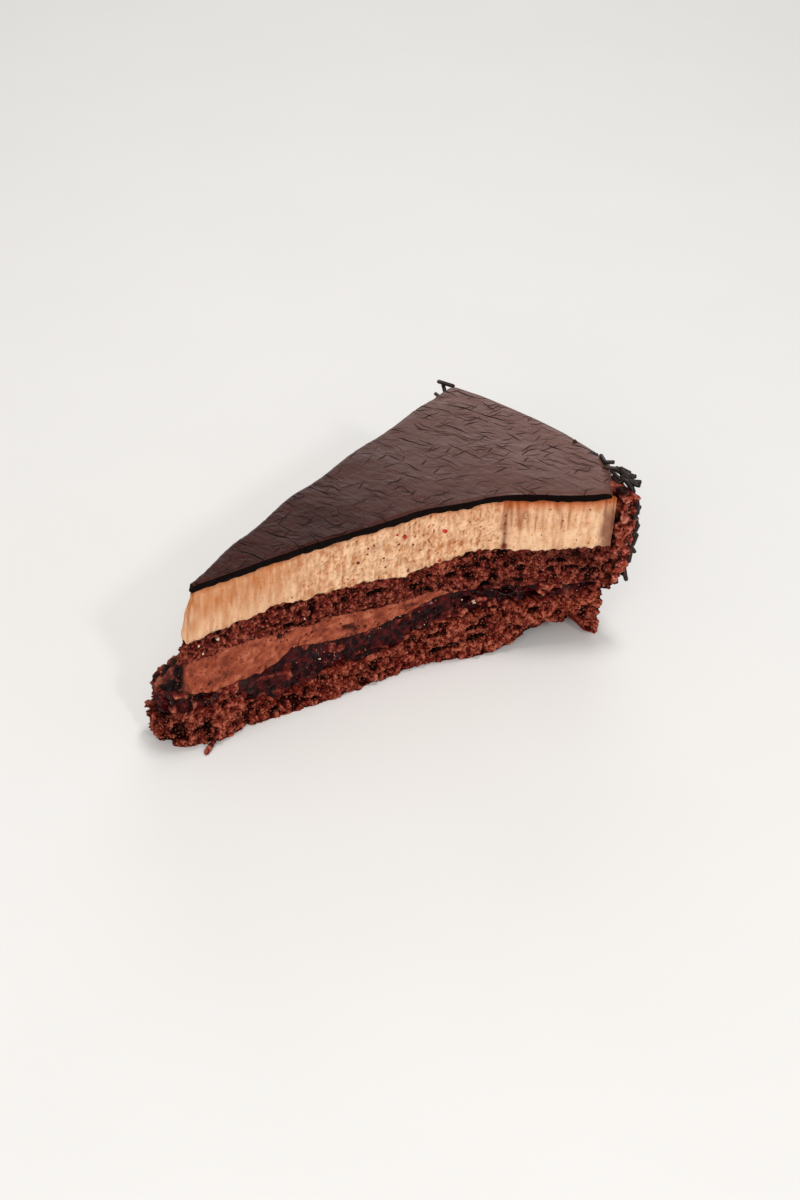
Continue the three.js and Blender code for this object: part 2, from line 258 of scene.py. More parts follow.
HEIGHT = 49.0
LAYER_GAP = 0.3
CAKE_AXIS = (1.0, -8.5)
MIDDLE = (57.3, -0.6)
COAT_RADIUS = 120.0
BODY_RADIUS = 114.0
GLAZE_THICKNESS = 2.2
GLAZE_RADIUS = COAT_RADIUS + 1.8
GLAZE_LIP = 1.1
FLARE_HEIGHT = 31.0
FULL_REACH = 6.0
TIP_ROUND = 0.27
STEPS_ALONG = 40
STEPS_ACROSS = 5
MIDDLE_JOINT = 24.0
MOUSSE_END = 75.0

FRONT_UPPER = [(-8, -0.5), (0, -0.5), (16, -1.9), (30, -3.7), (63, -8.6), (82.5, -14.6), (110.5, -32.4)]
FRONT_LOWER = [(-7, 1.5), (-2, -1.3), (5, -4), (15, -4.4), (36, -8.4), (58, -11.4), (68, -13.8),
               (84, -20.4), (96, -24.5), (106, -27.8), (114, -33)]
BACK_UPPER = [(-8, 0.5), (0, 0.5), (21, 8.2), (46, 16.3), (76, 23.9), (104, 30.6), (113, 32.7)]
BACK_LOWER = [(-7, 9.5), (2, 12), (21, 14), (47, 20.5), (76, 27), (104, 32.5), (112, 34)]
TIP_REACH = [(0, 5.4), (4, 6.2), (12, 6.5), (17, 6.1), (21, 4.9), (25, 3.3), (28, 2.2), (31, 1.6), (34, 1.8),
             (40, 1.2), (46, 0)]
ARCH = [(85, 0), (93, 3.3), (101, 7), (108.2, 6.8), (110.6, 1.8), (114, 1.4)]


class Plan:
    """The plan of the slice at any height: two knife cuts, a blunt tip and the round rim."""

    def __init__(self) -> None:
        """Sets up the heights at which the corners of the plan are worked out."""
        self.levels = np.linspace(-1.0, 51.0, 209)
        self.corners: dict[tuple[str, float], Array] = {}

    def bulge(self, x: Array, z: Array) -> Array:
        """Share of the bulged lower cut at a place, from 0 at the cream to 1 at the foot."""
        face = np.clip((FLARE_HEIGHT - z) / FLARE_HEIGHT, 0.0, 1.0)
        nose = np.clip(profile(TIP_REACH, z) / FULL_REACH, 0.0, 1.0) ** 1.5
        return lerp(nose, face, np.clip(x / 20.0, 0.0, 1.0))

    def front(self, x: Array, z: Array) -> Array:
        """Place y of the front cut."""
        return lerp(profile(FRONT_UPPER, x), profile(FRONT_LOWER, x), self.bulge(x, z))

    def back(self, x: Array, z: Array) -> Array:
        """Place y of the back cut."""
        return lerp(profile(BACK_UPPER, x), profile(BACK_LOWER, x), self.bulge(x, z))

    def corner(self, side: str, z: Array, radius: float) -> tuple[Array, Array]:
        """Where a cut meets a circle about the cake's axis.

        Args:
            side: front or back.
            z: heights.
            radius: radius of the circle.

        Returns:
            The x and y of the meeting point at each height.
        """
        cut = self.front if side == "front" else self.back
        if (side, radius) not in self.corners:
            near, far = np.full_like(self.levels, 60.0), np.full_like(self.levels, 130.0)
            for _ in range(40):
                x = (near + far) / 2.0
                outside = np.hypot(x - CAKE_AXIS[0], cut(x, self.levels) - CAKE_AXIS[1]) > radius
                near, far = np.where(outside, near, x), np.where(outside, x, far)
            self.corners[(side, radius)] = near
        x = np.interp(z, self.levels, self.corners[(side, radius)])
        return x, cut(x, z)

    def bearing(self, x: Array, y: Array) -> Array:
        """Angle of a point about the cake's axis."""
        return np.arctan2(y - CAKE_AXIS[1], x - CAKE_AXIS[0])

    def point(self, u: Array, v: Array, z: Array, rim: Callable[[Array], Array]) -> tuple[Array, Array]:
        """Point of the plan.

        Args:
            u: share of the way from the tip to the rim.
            v: share of the way from the front cut to the back cut.
            z: height.
            rim: radius at which the layer ends, at a share v.

        Returns:
            The x and y of the point.
        """
        reach = profile(TIP_REACH, z)
        ends = rim(np.array([0.0, 1.0]))
        fx, fy = self.corner("front", z, float(ends[0]))
        bx, by = self.corner("back", z, float(ends[1]))
        xf, xb = lerp(-reach, fx, u), lerp(-reach, bx, u)
        x, y = lerp(xf, xb, v), lerp(self.front(xf, z), self.back(xb, z), v)
        angle = lerp(self.bearing(fx, fy), self.bearing(bx, by), v)
        radius = rim(v)
        near_rim, near_tip = u**5, (1.0 - u) ** 12
        arc_x = CAKE_AXIS[0] + radius * np.cos(angle) - lerp(fx, bx, v)
        arc_y = CAKE_AXIS[1] + radius * np.sin(angle) - lerp(fy, by, v)
        x = x + arc_x * near_rim - TIP_ROUND * reach * 4.0 * v * (1.0 - v) * near_tip
        return x, y + arc_y * near_rim

    def rim_point(self, v: Array, z: Array, radius: Array) -> tuple[Array, Array, Array]:
        """Point a share v of the way round the rim.

        Args:
            v: share of the way from the front corner to the back corner.
            z: height.
            radius: distance from the cake's axis.

        Returns:
            The x and y of the point, and its angle about the axis.
        """
        front = self.bearing(*self.corner("front", z, COAT_RADIUS))
        back = self.bearing(*self.corner("back", z, COAT_RADIUS))
        angle = lerp(front, back, v)
        return CAKE_AXIS[0] + radius * np.cos(angle), CAKE_AXIS[1] + radius * np.sin(angle), angle


PLAN = Plan()


@dataclass(frozen=True)
class Joint:
    """The line on which two layers meet, from its stations at the two cuts.

    Attributes:
        front: heights along the front cut.
        back: heights along the back cut.
        jag: how far the line wanders up and down, in millimetres.
        seed: seed of that wandering.
    """

    front: tuple[tuple[float, float], ...]
    back: tuple[tuple[float, float], ...]
    jag: float = 0.4
    seed: int = 1

    def plain(self, x: Array, v: Array) -> Array:
        """Height of the line without its wandering."""
        return lerp(profile(list(self.front), x), profile(list(self.back), x), v)

    def height(self, x: Array, y: Array, v: Array) -> Array:
        """Height of the line at a place of the plan."""
        p = np.stack([x, y, np.zeros_like(x)], -1)
        wander = 0.6 * noise(p, 1.7, self.seed) + 0.4 * noise(p, 0.75, self.seed + 1)
        return self.plain(x, v) + LAYER_GAP / 2.0 + self.jag * wander


FILLING_LOW = Joint(
    ((-6, 9), (4, 11), (8, 13.4), (12, 13.2), (16, 8), (26, 5.6), (38, 8.8), (58, 8), (66, 11.8), (90, 14)),
    ((-6, 9), (10, 8), (30, 7), (60, 9), (90, 12)), jag=1.1, seed=5)
MOUSSE_LOW = Joint(
    ((-6, 18), (4, 16.2), (20, 15), (25, 16.2), (28.5, 19.4), (40, 17.2), (50, 16.6), (60, 17.6),
     (74, 20.8), (84, 20.2), (112, 19.4)),
    ((-6, 17), (15, 15), (40, 16), (62, 17.5), (74, 20.4), (84, 20.2), (112, 19.4)), jag=0.5, seed=9)
MOUSSE_HIGH = Joint(
    ((-6, 26.5), (12, 26.4), (27, 24.1), (40, 24), (52, 22.4), (60, 22), (74, 21.9), (84, 20.6),
     (112, 19.9)),
    ((-6, 26.5), (20, 25), (45, 23.5), (60, 22.2), (74, 21.6), (84, 20.6), (112, 19.9)), jag=0.5, seed=13)
CREAM_LOW = Joint(
    ((-2, 32), (14, 32.3), (23, 33), (33, 31.6), (48, 31.4), (60, 29.1), (68, 29.8), (79, 32),
     (95, 30.6), (112, 31.5)),
    ((-2, 32), (25, 31), (50, 32.2), (78, 30.4), (108, 31.4)), jag=0.85, seed=17)

# ---- meshes ----


def to_frame(p: Array) -> Array:
    """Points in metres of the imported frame, from millimetres of the plan."""
    return (p - np.array([MIDDLE[0], MIDDLE[1], 0.0])) * MM


def mesh_object(name: str, points: Array, faces: Array, fields: dict[str, Array]) -> bpy.types.Object:
    """Makes a smooth object from points in plan millimetres.

    Args:
        name: name of the object.
        points: one row for each vertex.
        faces: one row of four vertex numbers for each face.
        fields: values for each vertex, kept as attributes that the materials read.

    Returns:
        The linked object, at the origin, with doubles merged and faces outwards.
    """
    mesh = bpy.data.meshes.new(name)
    mesh.from_pydata(to_frame(points).tolist(), [], faces.tolist())
    for key, values in fields.items():
        attribute = mesh.attributes.new(key, "FLOAT", "POINT")
        attribute.data.foreach_set("value", np.asarray(values, np.float32).ravel())
    work = bmesh.new()
    work.from_mesh(mesh)
    bmesh.ops.remove_doubles(work, verts=work.verts, dist=0.01 * MM)
    bmesh.ops.dissolve_degenerate(work, edges=work.edges, dist=0.002 * MM)
    work.to_mesh(mesh)
    work.free()
    mesh.shade_smooth()
    obj = bpy.data.objects.new(name, mesh)
    bpy.context.scene.collection.objects.link(obj)
    return obj


def band_faces(rows: int, columns: int, start: int = 0) -> Array:
    """Quads of a closed band whose rows run round the piece.

    Args:
        rows: number of rings.
        columns: number of vertices in a ring.
        start: number of the first vertex.

    Returns:
        One row of four vertex numbers for each face, outwards where rings rise and run anticlockwise.
    """
    r, c = np.meshgrid(np.arange(rows - 1), np.arange(columns), indexing="ij")
    after = (c + 1) % columns
    quads = [r * columns + c, r * columns + after, (r + 1) * columns + after, (r + 1) * columns + c]
    return np.stack(quads, -1).reshape(-1, 4) + start


def normals_of(grid: Array) -> Array:
    """Outward unit normals of a closed band of rings."""
    around = np.roll(grid, -1, 1) - np.roll(grid, 1, 1)
    along = np.gradient(grid, axis=0)
    n = np.cross(around, along)
    return n / np.maximum(np.linalg.norm(n, axis=-1, keepdims=True), 1e-9)


def outline(steps: tuple[float, float, float, float], share: float = 1.0) -> tuple[Array, Array]:
    """Walk round the plan of a layer, anticlockwise from the tip along the front cut.

    Args:
        steps: spacing in millimetres on the front cut, the rim, the back cut and the blunt tip.
        share: how much of the length the layer reaches.

    Returns:
        The shares u and v of each step.
    """
    lengths = (126.0 * share, 68.0 if share == 1.0 else 30.0, 122.0 * share, 15.0)
    counts = [max(4, round(length / step)) for length, step in zip(lengths, steps)]
    run = [np.arange(n) / n for n in counts]
    u = np.concatenate([run[0], np.ones(counts[1]), 1.0 - run[2], np.zeros(counts[3])]) * share
    v = np.concatenate([np.zeros(counts[0]), run[1], np.ones(counts[2]), 1.0 - run[3]])
    return u, v


# ---- shader and geometry trees ----


def add(tree: bpy.types.NodeTree, kind: str, links: dict[Any, Any] | None = None, **settings: Any) -> Any:
    """Adds a node with its settings and links.

    Args:
        tree: the tree to add to.
        kind: the node's type.
        links: for each input, by name or number, a socket to link from or a value to set.
        settings: attributes of the node.

    Returns:
        The node.
    """
    node = tree.nodes.new(kind)
    for key, value in settings.items():
        setattr(node, key, value)
    for key, value in (links or {}).items():
        if isinstance(value, bpy.types.NodeSocket):
            tree.links.new(value, node.inputs[key])
        else:
            node.inputs[key].default_value = value
    return node


def linear(code: str) -> tuple[float, float, float, float]:
    """Linear colour from an sRGB hex code."""
    channels = [int(code[i:i + 2], 16) / 255.0 for i in (1, 3, 5)]
    low, high = 0.04045, 12.92
    values = [c / high if c <= low else ((c + 0.055) / 1.055) ** 2.4 for c in channels]
    return (values[0], values[1], values[2], 1.0)


def ramp(tree: bpy.types.NodeTree, source: Any, stops: list[tuple[float, Any]]) -> Any:
    """Colour ramp over a value.

    Args:
        tree: the tree to add to.
        source: the socket that drives the ramp.
        stops: positions with an sRGB hex code or a grey level each.

    Returns:
        The colour socket of the ramp.
    """
    node = add(tree, "ShaderNodeValToRGB", {"Fac": source})
    elements = node.color_ramp.elements
    while len(elements) < len(stops):
        elements.new(0.5)
    for element, (position, value) in zip(elements, stops):
        element.position = position
        element.color = linear(value) if isinstance(value, str) else (value, value, value, 1.0)
    return node.outputs["Color"]


def blend_colour(tree: bpy.types.NodeTree, share: Any, a: Any, b: Any, mode: str = "MIX") -> Any:
    """Mix of two colours.

    Args:
        tree: the tree to add to.
        share: socket or value of the share of b.
        a: first colour, a socket or a linear colour.
        b: second colour, a socket or a linear colour.
        mode: blend type of the Mix node.

    Returns:
        The mixed colour socket.
    """
    node = add(tree, "ShaderNodeMix", data_type="RGBA", blend_type=mode)
    for number, value in ((0, share), (6, a), (7, b)):
        if isinstance(value, bpy.types.NodeSocket):
            tree.links.new(value, node.inputs[number])
        else:
            node.inputs[number].default_value = value
    return node.outputs[2]


class Field(Enum):
    """Attributes that the meshes carry for their materials."""

    # relief: the finishes paint shade in its hollows and highlight on its crowns
    RELIEF = "relief"
    TINT = "tint"
    # stain: real syrup, glaze and crumb stains, and painted shade in voids, hollows, tears and corners
    STAIN = "stain"
    BLEND = "blend"


@dataclass(frozen=True)
class Finish:
    """Base of every finish: a Principled material named for what it is and how it was made.

    Attributes:
        name: name of the material.
        ior: index of refraction of the surface.
        gloss: specular level of the surface, low where the crumb swallows reflections.
    """

    name: str
    ior: float = 1.45
    gloss: float = 0.5

    def material(self) -> bpy.types.Material:
        """Builds the material, or returns the one that was built before."""
        if self.name in bpy.data.materials:
            return bpy.data.materials[self.name]
        material = bpy.data.materials.new(self.name)
        material.use_nodes = True
        tree = material.node_tree
        tree.nodes.clear()
        shader = add(tree, "ShaderNodeBsdfPrincipled", {
            "IOR": self.ior, "Metallic": 0.0, "Specular IOR Level": self.gloss})
        output = add(tree, "ShaderNodeOutputMaterial")
        tree.links.new(shader.outputs["BSDF"], output.inputs["Surface"])
        self.paint(tree, shader)
        return material

    def paint(self, tree: bpy.types.NodeTree, shader: Any) -> None:
        """Fills in the colour, roughness and bump.

        Args:
            tree: the material's tree.
            shader: its Principled node.
        """
        raise NotImplementedError

    def field(self, tree: bpy.types.NodeTree, which: Field) -> Any:
        """Value of a mesh attribute."""
        node = add(tree, "ShaderNodeAttribute", attribute_type="GEOMETRY", attribute_name=which.value)
        return node.outputs["Fac"]

    def grain(self, tree: bpy.types.NodeTree, size_mm: float, detail: float = 2.0,
              stretch: tuple[float, float, float] = (1.0, 1.0, 1.0), turn: float = 0.0) -> Any:
        """Noise on the object's coordinates.

        Args:
            tree: the material's tree.
            size_mm: size of one lump in millimetres.
            detail: octaves of finer noise.
            stretch: how much longer the lumps are along each axis.
            turn: angle of the pattern about the upright axis.

        Returns:
            The noise value socket.
        """
        place = add(tree, "ShaderNodeTexCoord").outputs["Object"]
        turned = add(tree, "ShaderNodeMapping", {
            "Vector": place,
            "Rotation": (0.0, 0.0, turn)}).outputs[0]
        scaled = add(tree, "ShaderNodeMapping", {
            "Vector": turned,
            "Scale": tuple(1.0 / (size_mm * MM * s) for s in stretch)}).outputs[0]
        return add(tree, "ShaderNodeTexNoise", {
            "Vector": scaled, "Scale": 1.0, "Detail": detail, "Roughness": 0.6}).outputs[0]

    def bump(self, tree: bpy.types.NodeTree, shader: Any, height: Any, depth_mm: float) -> None:
        """Sets the shader's bump from a height socket, of a depth in millimetres."""
        node = add(tree, "ShaderNodeBump", {"Height": height, "Distance": depth_mm * MM, "Strength": 1.0})
        tree.links.new(node.outputs[0], shader.inputs["Normal"])


@dataclass(frozen=True)
class CrumbFinish(Finish):
    """Baked chocolate sponge or crumbly cream, torn by the knife.

    Attributes:
        crevice_shade: painted shade deep between the granules.
        body: colour of the crumb.
        crown: colour of the granules that catch the light.
        cherry: colour of the granules that are soaked with cherry syrup.
        moist: share of the granules that shine with syrup.
    """

    crevice_shade: str = "#1c0805"
    body: str = "#5a2a20"
    crown: str = "#8f5545"
    cherry: str = "#4a1013"
    moist: float = 0.3

    def paint(self, tree: bpy.types.NodeTree, shader: Any) -> None:
        """Painted shade in the crevices and painted highlight on the crowns, varied from granule to granule, matt
        with moist glints.

        Args:
            tree: the material's tree.
            shader: its Principled node.
        """
        fine = self.grain(tree, 0.4, 4.0)
        height = add(tree, "ShaderNodeMath", {0: fine, 1: 0.7, 2: self.field(tree, Field.RELIEF)},
                     operation="MULTIPLY_ADD").outputs[0]
        level = add(tree, "ShaderNodeMath", {0: height, 1: 0.36}, operation="SUBTRACT").outputs[0]
        # painted shade in the hollows and painted highlight on the crowns, read from the relief field
        warm = ramp(tree, level, [(0.26, self.crevice_shade), (0.5, self.body), (0.84, self.crown)])
        red = ramp(tree, level, [(0.26, self.crevice_shade), (0.5, self.cherry), (0.84, self.body)])
        share = ramp(tree, self.grain(tree, 1.1, 2.0), [(0.44, 0.0), (0.62, 1.0)])
        colour = blend_colour(tree, share, warm, red)
        # random tone per granule, and in the sponges painted bounce light near the floor
        patch = ramp(tree, self.field(tree, Field.TINT), [(0.0, 0.45), (0.55, 0.95), (1.0, 1.0)])
        colour = blend_colour(tree, 0.9, colour, patch, "MULTIPLY")
        # darker by the stain field: real syrup soak, and painted shade in voids, hollows and the coat's inner wall
        soaked = ramp(tree, self.field(tree, Field.STAIN), [(0.0, 1.0), (1.0, 0.06)])
        colour = blend_colour(tree, 1.0, colour, soaked, "MULTIPLY")
        tree.links.new(colour, shader.inputs["Base Color"])
        shine = self.grain(tree, 0.8, 2.0)
        edge = 0.72 - 0.3 * self.moist
        rough = ramp(tree, shine, [(edge - 0.08, 0.85), (edge, 0.38)])
        tree.links.new(rough, shader.inputs["Roughness"])
        self.bump(tree, shader, fine, 0.25)


@dataclass(frozen=True)
class FillingFinish(Finish):
    """Dark cherry ganache, spooned on and cut: wet, with bits of sponge baked into it.

    Attributes:
        syrup: colour of the dark wet mass, also the painted shade deep in the sponge that shows through.
        fruit: colour of the redder fruit bits.
        sponge: colour of the sponge that shows through.
        crown: colour of that sponge where it catches the light.
    """

    syrup: str = "#190203"
    fruit: str = "#521011"
    sponge: str = "#74281a"
    crown: str = "#b8674f"

    def paint(self, tree: bpy.types.NodeTree, shader: Any) -> None:
        """Near-black gloss with red fruit, and matt sponge where the mesh says so, with painted shade in its
        crevices and painted highlight on its crowns.

        Args:
            tree: the material's tree.
            shader: its Principled node.
        """
        wet = ramp(tree, self.grain(tree, 2.2, 4.0), [(0.48, self.syrup), (0.66, self.fruit)])
        # painted shade in the hollows of the sponge and painted highlight on its crowns, from the relief field
        dry = ramp(tree, self.field(tree, Field.RELIEF), [(0.2, self.syrup), (0.5, self.sponge),
                                                          (0.9, self.crown)])
        red = ramp(tree, self.grain(tree, 1.0, 2.0), [(0.42, 0.0), (0.6, 0.8)])
        dry = blend_colour(tree, red, dry, linear(self.fruit))
        share = self.field(tree, Field.BLEND)
        tree.links.new(blend_colour(tree, share, wet, dry), shader.inputs["Base Color"])
        gloss = ramp(tree, self.grain(tree, 1.6, 2.0), [(0.4, 0.08), (0.62, 0.24)])
        rough = blend_colour(tree, share, gloss, (0.8, 0.8, 0.8, 1.0))
        tree.links.new(rough, shader.inputs["Roughness"])
        self.bump(tree, shader, self.grain(tree, 1.2, 1.0), 0.16)


@dataclass(frozen=True)
class MousseFinish(Finish):
    """Whipped chocolate mousse, set and cut: fine pores and a soft matt surface, with painted shade and highlight.

    Attributes:
        shade: painted shade in the pores and tears.
        body: colour of the mousse.
        light: painted highlight on its smooth swells.
        crevice_shade: painted shade deep in the crumb that the knife has dragged over it.
        crumb: colour of that crumb.
        crown: colour of that crumb where it catches the light.
    """

    shade: str = "#3a0f06"
    body: str = "#96442b"
    light: str = "#c87d5c"
    crevice_shade: str = "#140200"
    crumb: str = "#602114"
    crown: str = "#a25b47"

    def paint(self, tree: bpy.types.NodeTree, shader: Any) -> None:
        """Mid brown with painted shade in the pores and painted highlight on the swells, faintly translucent.

        Args:
            tree: the material's tree.
            shader: its Principled node.
        """
        fine = self.grain(tree, 0.5, 4.0)
        height = add(tree, "ShaderNodeMath", {0: fine, 1: 0.5, 2: self.field(tree, Field.RELIEF)},
                     operation="MULTIPLY_ADD").outputs[0]
        level = add(tree, "ShaderNodeMath", {0: height, 1: 0.25}, operation="SUBTRACT").outputs[0]
        # painted shade in pores, tears and cracks and painted highlight on the swells, from the relief field
        colour = ramp(tree, level, [(0.15, self.shade), (0.5, self.body), (0.9, self.light)])
        crumb = ramp(tree, level, [(0.26, self.crevice_shade), (0.5, self.crumb), (0.84, self.crown)])
        colour = blend_colour(tree, self.field(tree, Field.BLEND), colour, crumb)
        tree.links.new(colour, shader.inputs["Base Color"])
        rough = ramp(tree, self.grain(tree, 2.0), [(0.3, 0.5), (0.7, 0.7)])
        tree.links.new(rough, shader.inputs["Roughness"])
        shader.inputs["Subsurface Weight"].default_value = 0.12
        shader.inputs["Subsurface Radius"].default_value = (1.0, 0.4, 0.25)
        shader.inputs["Subsurface Scale"].default_value = 0.8 * MM
        self.bump(tree, shader, self.grain(tree, 0.35, 3.0), 0.12)


@dataclass(frozen=True)
class CreamFinish(Finish):
    """Coffee cream mousse drawn by the knife: pale curds, tan smears and brown stains under the glaze, with painted
    shade in its hollows, tears and the corner by the coat.

    Attributes:
        tan: colour of the smeared cream.
        pale: colour of the torn, lumpy cream.
        stain: colour where glaze and crumbs were dragged into it, and painted shade in the tears and the corner by
            the coat.
        seep: colour of the band under the glaze that it has seeped into.
    """

    tan: str = "#c4743a"
    pale: str = "#efc59e"
    stain: str = "#6a2410"
    seep: str = "#bf6229"

    def paint(self, tree: bpy.types.NodeTree, shader: Any) -> None:
        """Tan to pale by the mesh's tint, darker in the hollows as painted shade, stained brown and painted with
        shade where the mesh says so, softly translucent.

        Args:
            tree: the material's tree.
            shader: its Principled node.
        """
        fine = self.grain(tree, 0.9, 3.0, (1.0, 1.0, 2.4))
        tint = add(tree, "ShaderNodeMath", {0: fine, 1: 0.35, 2: self.field(tree, Field.TINT)},
                   operation="MULTIPLY_ADD").outputs[0]
        level = add(tree, "ShaderNodeMath", {0: tint, 1: 0.175}, operation="SUBTRACT").outputs[0]
        colour = ramp(tree, level, [(0.12, self.tan), (0.8, self.pale)])
        colour = blend_colour(tree, self.field(tree, Field.BLEND), colour, linear(self.seep))
        # painted shade in the hollows, from the relief field
        hollow = ramp(tree, self.field(tree, Field.RELIEF), [(0.12, 0.6), (0.5, 1.0)])
        colour = blend_colour(tree, 1.0, colour, hollow, "MULTIPLY")
        flecks = ramp(tree, self.grain(tree, 0.8, 1.0), [(0.66, 0.0), (0.7, 0.6)])
        colour = blend_colour(tree, flecks, colour, linear(self.seep))
        # real smears and seep, and painted shade in the tears and the corner by the coat
        colour = blend_colour(tree, self.field(tree, Field.STAIN), colour, linear(self.stain))
        tree.links.new(colour, shader.inputs["Base Color"])
        rough = ramp(tree, self.grain(tree, 1.6), [(0.35, 0.42), (0.65, 0.62)])
        tree.links.new(rough, shader.inputs["Roughness"])
        shader.inputs["Subsurface Weight"].default_value = 0.25
        shader.inputs["Subsurface Radius"].default_value = (1.0, 0.6, 0.35)
        shader.inputs["Subsurface Scale"].default_value = 1.2 * MM
        self.bump(tree, shader, self.grain(tree, 0.5, 2.0, (1.0, 1.0, 2.0)), 0.08)


@dataclass(frozen=True)
class GlazeFinish(Finish):
    """Chocolate glaze, poured and set: a satin skin that has dried into fine creases.

    Attributes:
        skin: colour of the top.
        worn: colour of its paler, drier patches.
        painted_rim_sheen: colour of the painted sheen of the rolled edge, towards the rim.
        cut: painted shade deep in the creases.
        depth: depth of the creases in millimetres.
        mottle_and_sheen: share of that painted sheen at the rim.
        families: direction in degrees, length and spacing of the cells in millimetres, and strength of
            each family of creases.
    """

    skin: str = "#2f0f09"
    worn: str = "#3b160e"
    painted_rim_sheen: str = "#65433b"
    cut: str = "#0a0201"
    depth: float = 0.12
    mottle_and_sheen: float = 0.9
    families: tuple[tuple[float, float, float, float], ...] = (
        (-80.0, 26.0, 1.7, 1.0), (-62.0, 22.0, 1.9, 0.9), (-42.0, 18.0, 2.0, 0.7), (-22.0, 20.0, 1.8, 0.8),
        (-4.0, 26.0, 1.8, 0.9), (20.0, 16.0, 2.2, 0.6), (-70.0, 40.0, 2.6, 1.0), (-50.0, 12.0, 1.2, 0.5))

    def paint(self, tree: bpy.types.NodeTree, shader: Any) -> None:
        """Grey-brown satin with painted sheen towards the rim and hair creases in two directions painted with shade;
        near-black painted shade on the cut edge.

        Args:
            tree: the material's tree.
            shader: its Principled node.
        """
        mottle_and_sheen = self.grain(tree, 9.0, 3.0)
        skin = ramp(tree, mottle_and_sheen, [(0.35, self.skin), (0.7, self.worn)])
        # painted sheen of the rolled rim edge: paler grey towards the rim
        place = add(tree, "ShaderNodeSeparateXYZ", {0: add(tree, "ShaderNodeTexCoord").outputs["Object"]})
        toward_rim = add(tree, "ShaderNodeMath", {0: place.outputs[0], 1: 1.0 / (120.0 * MM), 2: 0.5},
                         operation="MULTIPLY_ADD").outputs[0]
        share = ramp(tree, toward_rim, [(0.4, 0.0), (1.0, self.mottle_and_sheen)])
        skin = blend_colour(tree, share, skin, linear(self.painted_rim_sheen))
        groove = self.creases(tree)
        # painted shade in the creases
        colour = blend_colour(tree, groove, skin, linear(self.cut))
        tree.links.new(colour, shader.inputs["Base Color"])
        satin = ramp(tree, self.grain(tree, 3.0, 3.0), [(0.3, 0.24), (0.7, 0.36)])
        rough = blend_colour(tree, groove, satin, (0.9, 0.9, 0.9, 1.0))
        tree.links.new(rough, shader.inputs["Roughness"])
        place = add(tree, "ShaderNodeTexCoord").outputs["Object"]
        crinkle: Any = 0.0
        for turn, along, across in ((60.0, 7.0, 2.3), (14.0, 5.2, 1.9), (84.0, 6.0, 1.4)):
            turned = add(tree, "ShaderNodeMapping", {"Vector": place, "Rotation": (0, 0, math.radians(turn))})
            scaled = add(tree, "ShaderNodeMapping", {
                "Vector": turned.outputs[0], "Scale": (1.0 / (along * MM), 1.0 / (across * MM), 1.0)})
            cell = add(tree, "ShaderNodeTexVoronoi", {"Vector": scaled.outputs[0], "Scale": 1.0},
                       voronoi_dimensions="2D")
            crinkle = add(tree, "ShaderNodeMath", {0: cell.outputs["Distance"], 1: 0.26, 2: crinkle},
                          operation="MULTIPLY_ADD").outputs[0]
        height = add(tree, "ShaderNodeMath", {0: groove, 1: -1.3, 2: crinkle}, operation="MULTIPLY_ADD")
        self.bump(tree, shader, height.outputs[0], self.depth)

    def creases(self, tree: bpy.types.NodeTree) -> Any:
        """Hair creases: thin stretched cells in several directions, bent a little by noise.

        Args:
            tree: the material's tree.

        Returns:
            A socket that is 1 in the middle of a crease and 0 on the skin.
        """
        place = add(tree, "ShaderNodeTexCoord").outputs["Object"]
        bend = add(tree, "ShaderNodeTexNoise", {"Vector": place, "Scale": 1.0 / (5.0 * MM), "Detail": 1.0})
        bent = add(tree, "ShaderNodeVectorMath", {0: bend.outputs["Color"], 1: (0.0022, 0.0022, 0.0), 2: place},
                   operation="MULTIPLY_ADD").outputs[0]
        total: Any = 0.0
        for turn, along, across, strength in self.families:
            turned = add(tree, "ShaderNodeMapping", {"Vector": bent, "Rotation": (0, 0, math.radians(-turn))})
            scaled = add(tree, "ShaderNodeMapping", {
                "Vector": turned.outputs[0], "Scale": (1.0 / (along * MM), 1.0 / (across * MM), 1.0)})
            cell = add(tree, "ShaderNodeTexVoronoi", {"Vector": scaled.outputs[0], "Scale": 1.0},
                       voronoi_dimensions="2D")
            near = ramp(tree, cell.outputs["Distance"], [(0.06, strength), (0.14, 0.0)])
            vary = ramp(tree, cell.outputs["Color"], [(0.3, 0.0), (0.7, 1.0)])
            faint = add(tree, "ShaderNodeMath", {0: near, 1: vary}, operation="MULTIPLY")
            total = add(tree, "ShaderNodeMath", {0: faint.outputs[0], 1: total}, operation="MAXIMUM").outputs[0]
        return total


@dataclass(frozen=True)
class SyrupFinish(Finish):
    """Cherry syrup, wept out and beaded: small drops that mirror the lamps.

    Attributes:
        syrup: colour of the drops.
    """

    syrup: str = "#1c0404"

    def paint(self, tree: bpy.types.NodeTree, shader: Any) -> None:
        """Clear dark red with a mirror gloss that dulls a little here and there.

        Args:
            tree: the material's tree.
            shader: its Principled node.
        """
        deep = ramp(tree, self.grain(tree, 3.0), [(0.3, 0.6), (0.7, 1.0)])
        colour = blend_colour(tree, 1.0, linear(self.syrup), deep, "MULTIPLY")
        tree.links.new(colour, shader.inputs["Base Color"])
        rough = ramp(tree, self.grain(tree, 2.0), [(0.3, 0.03), (0.7, 0.12)])
        tree.links.new(rough, shader.inputs["Roughness"])


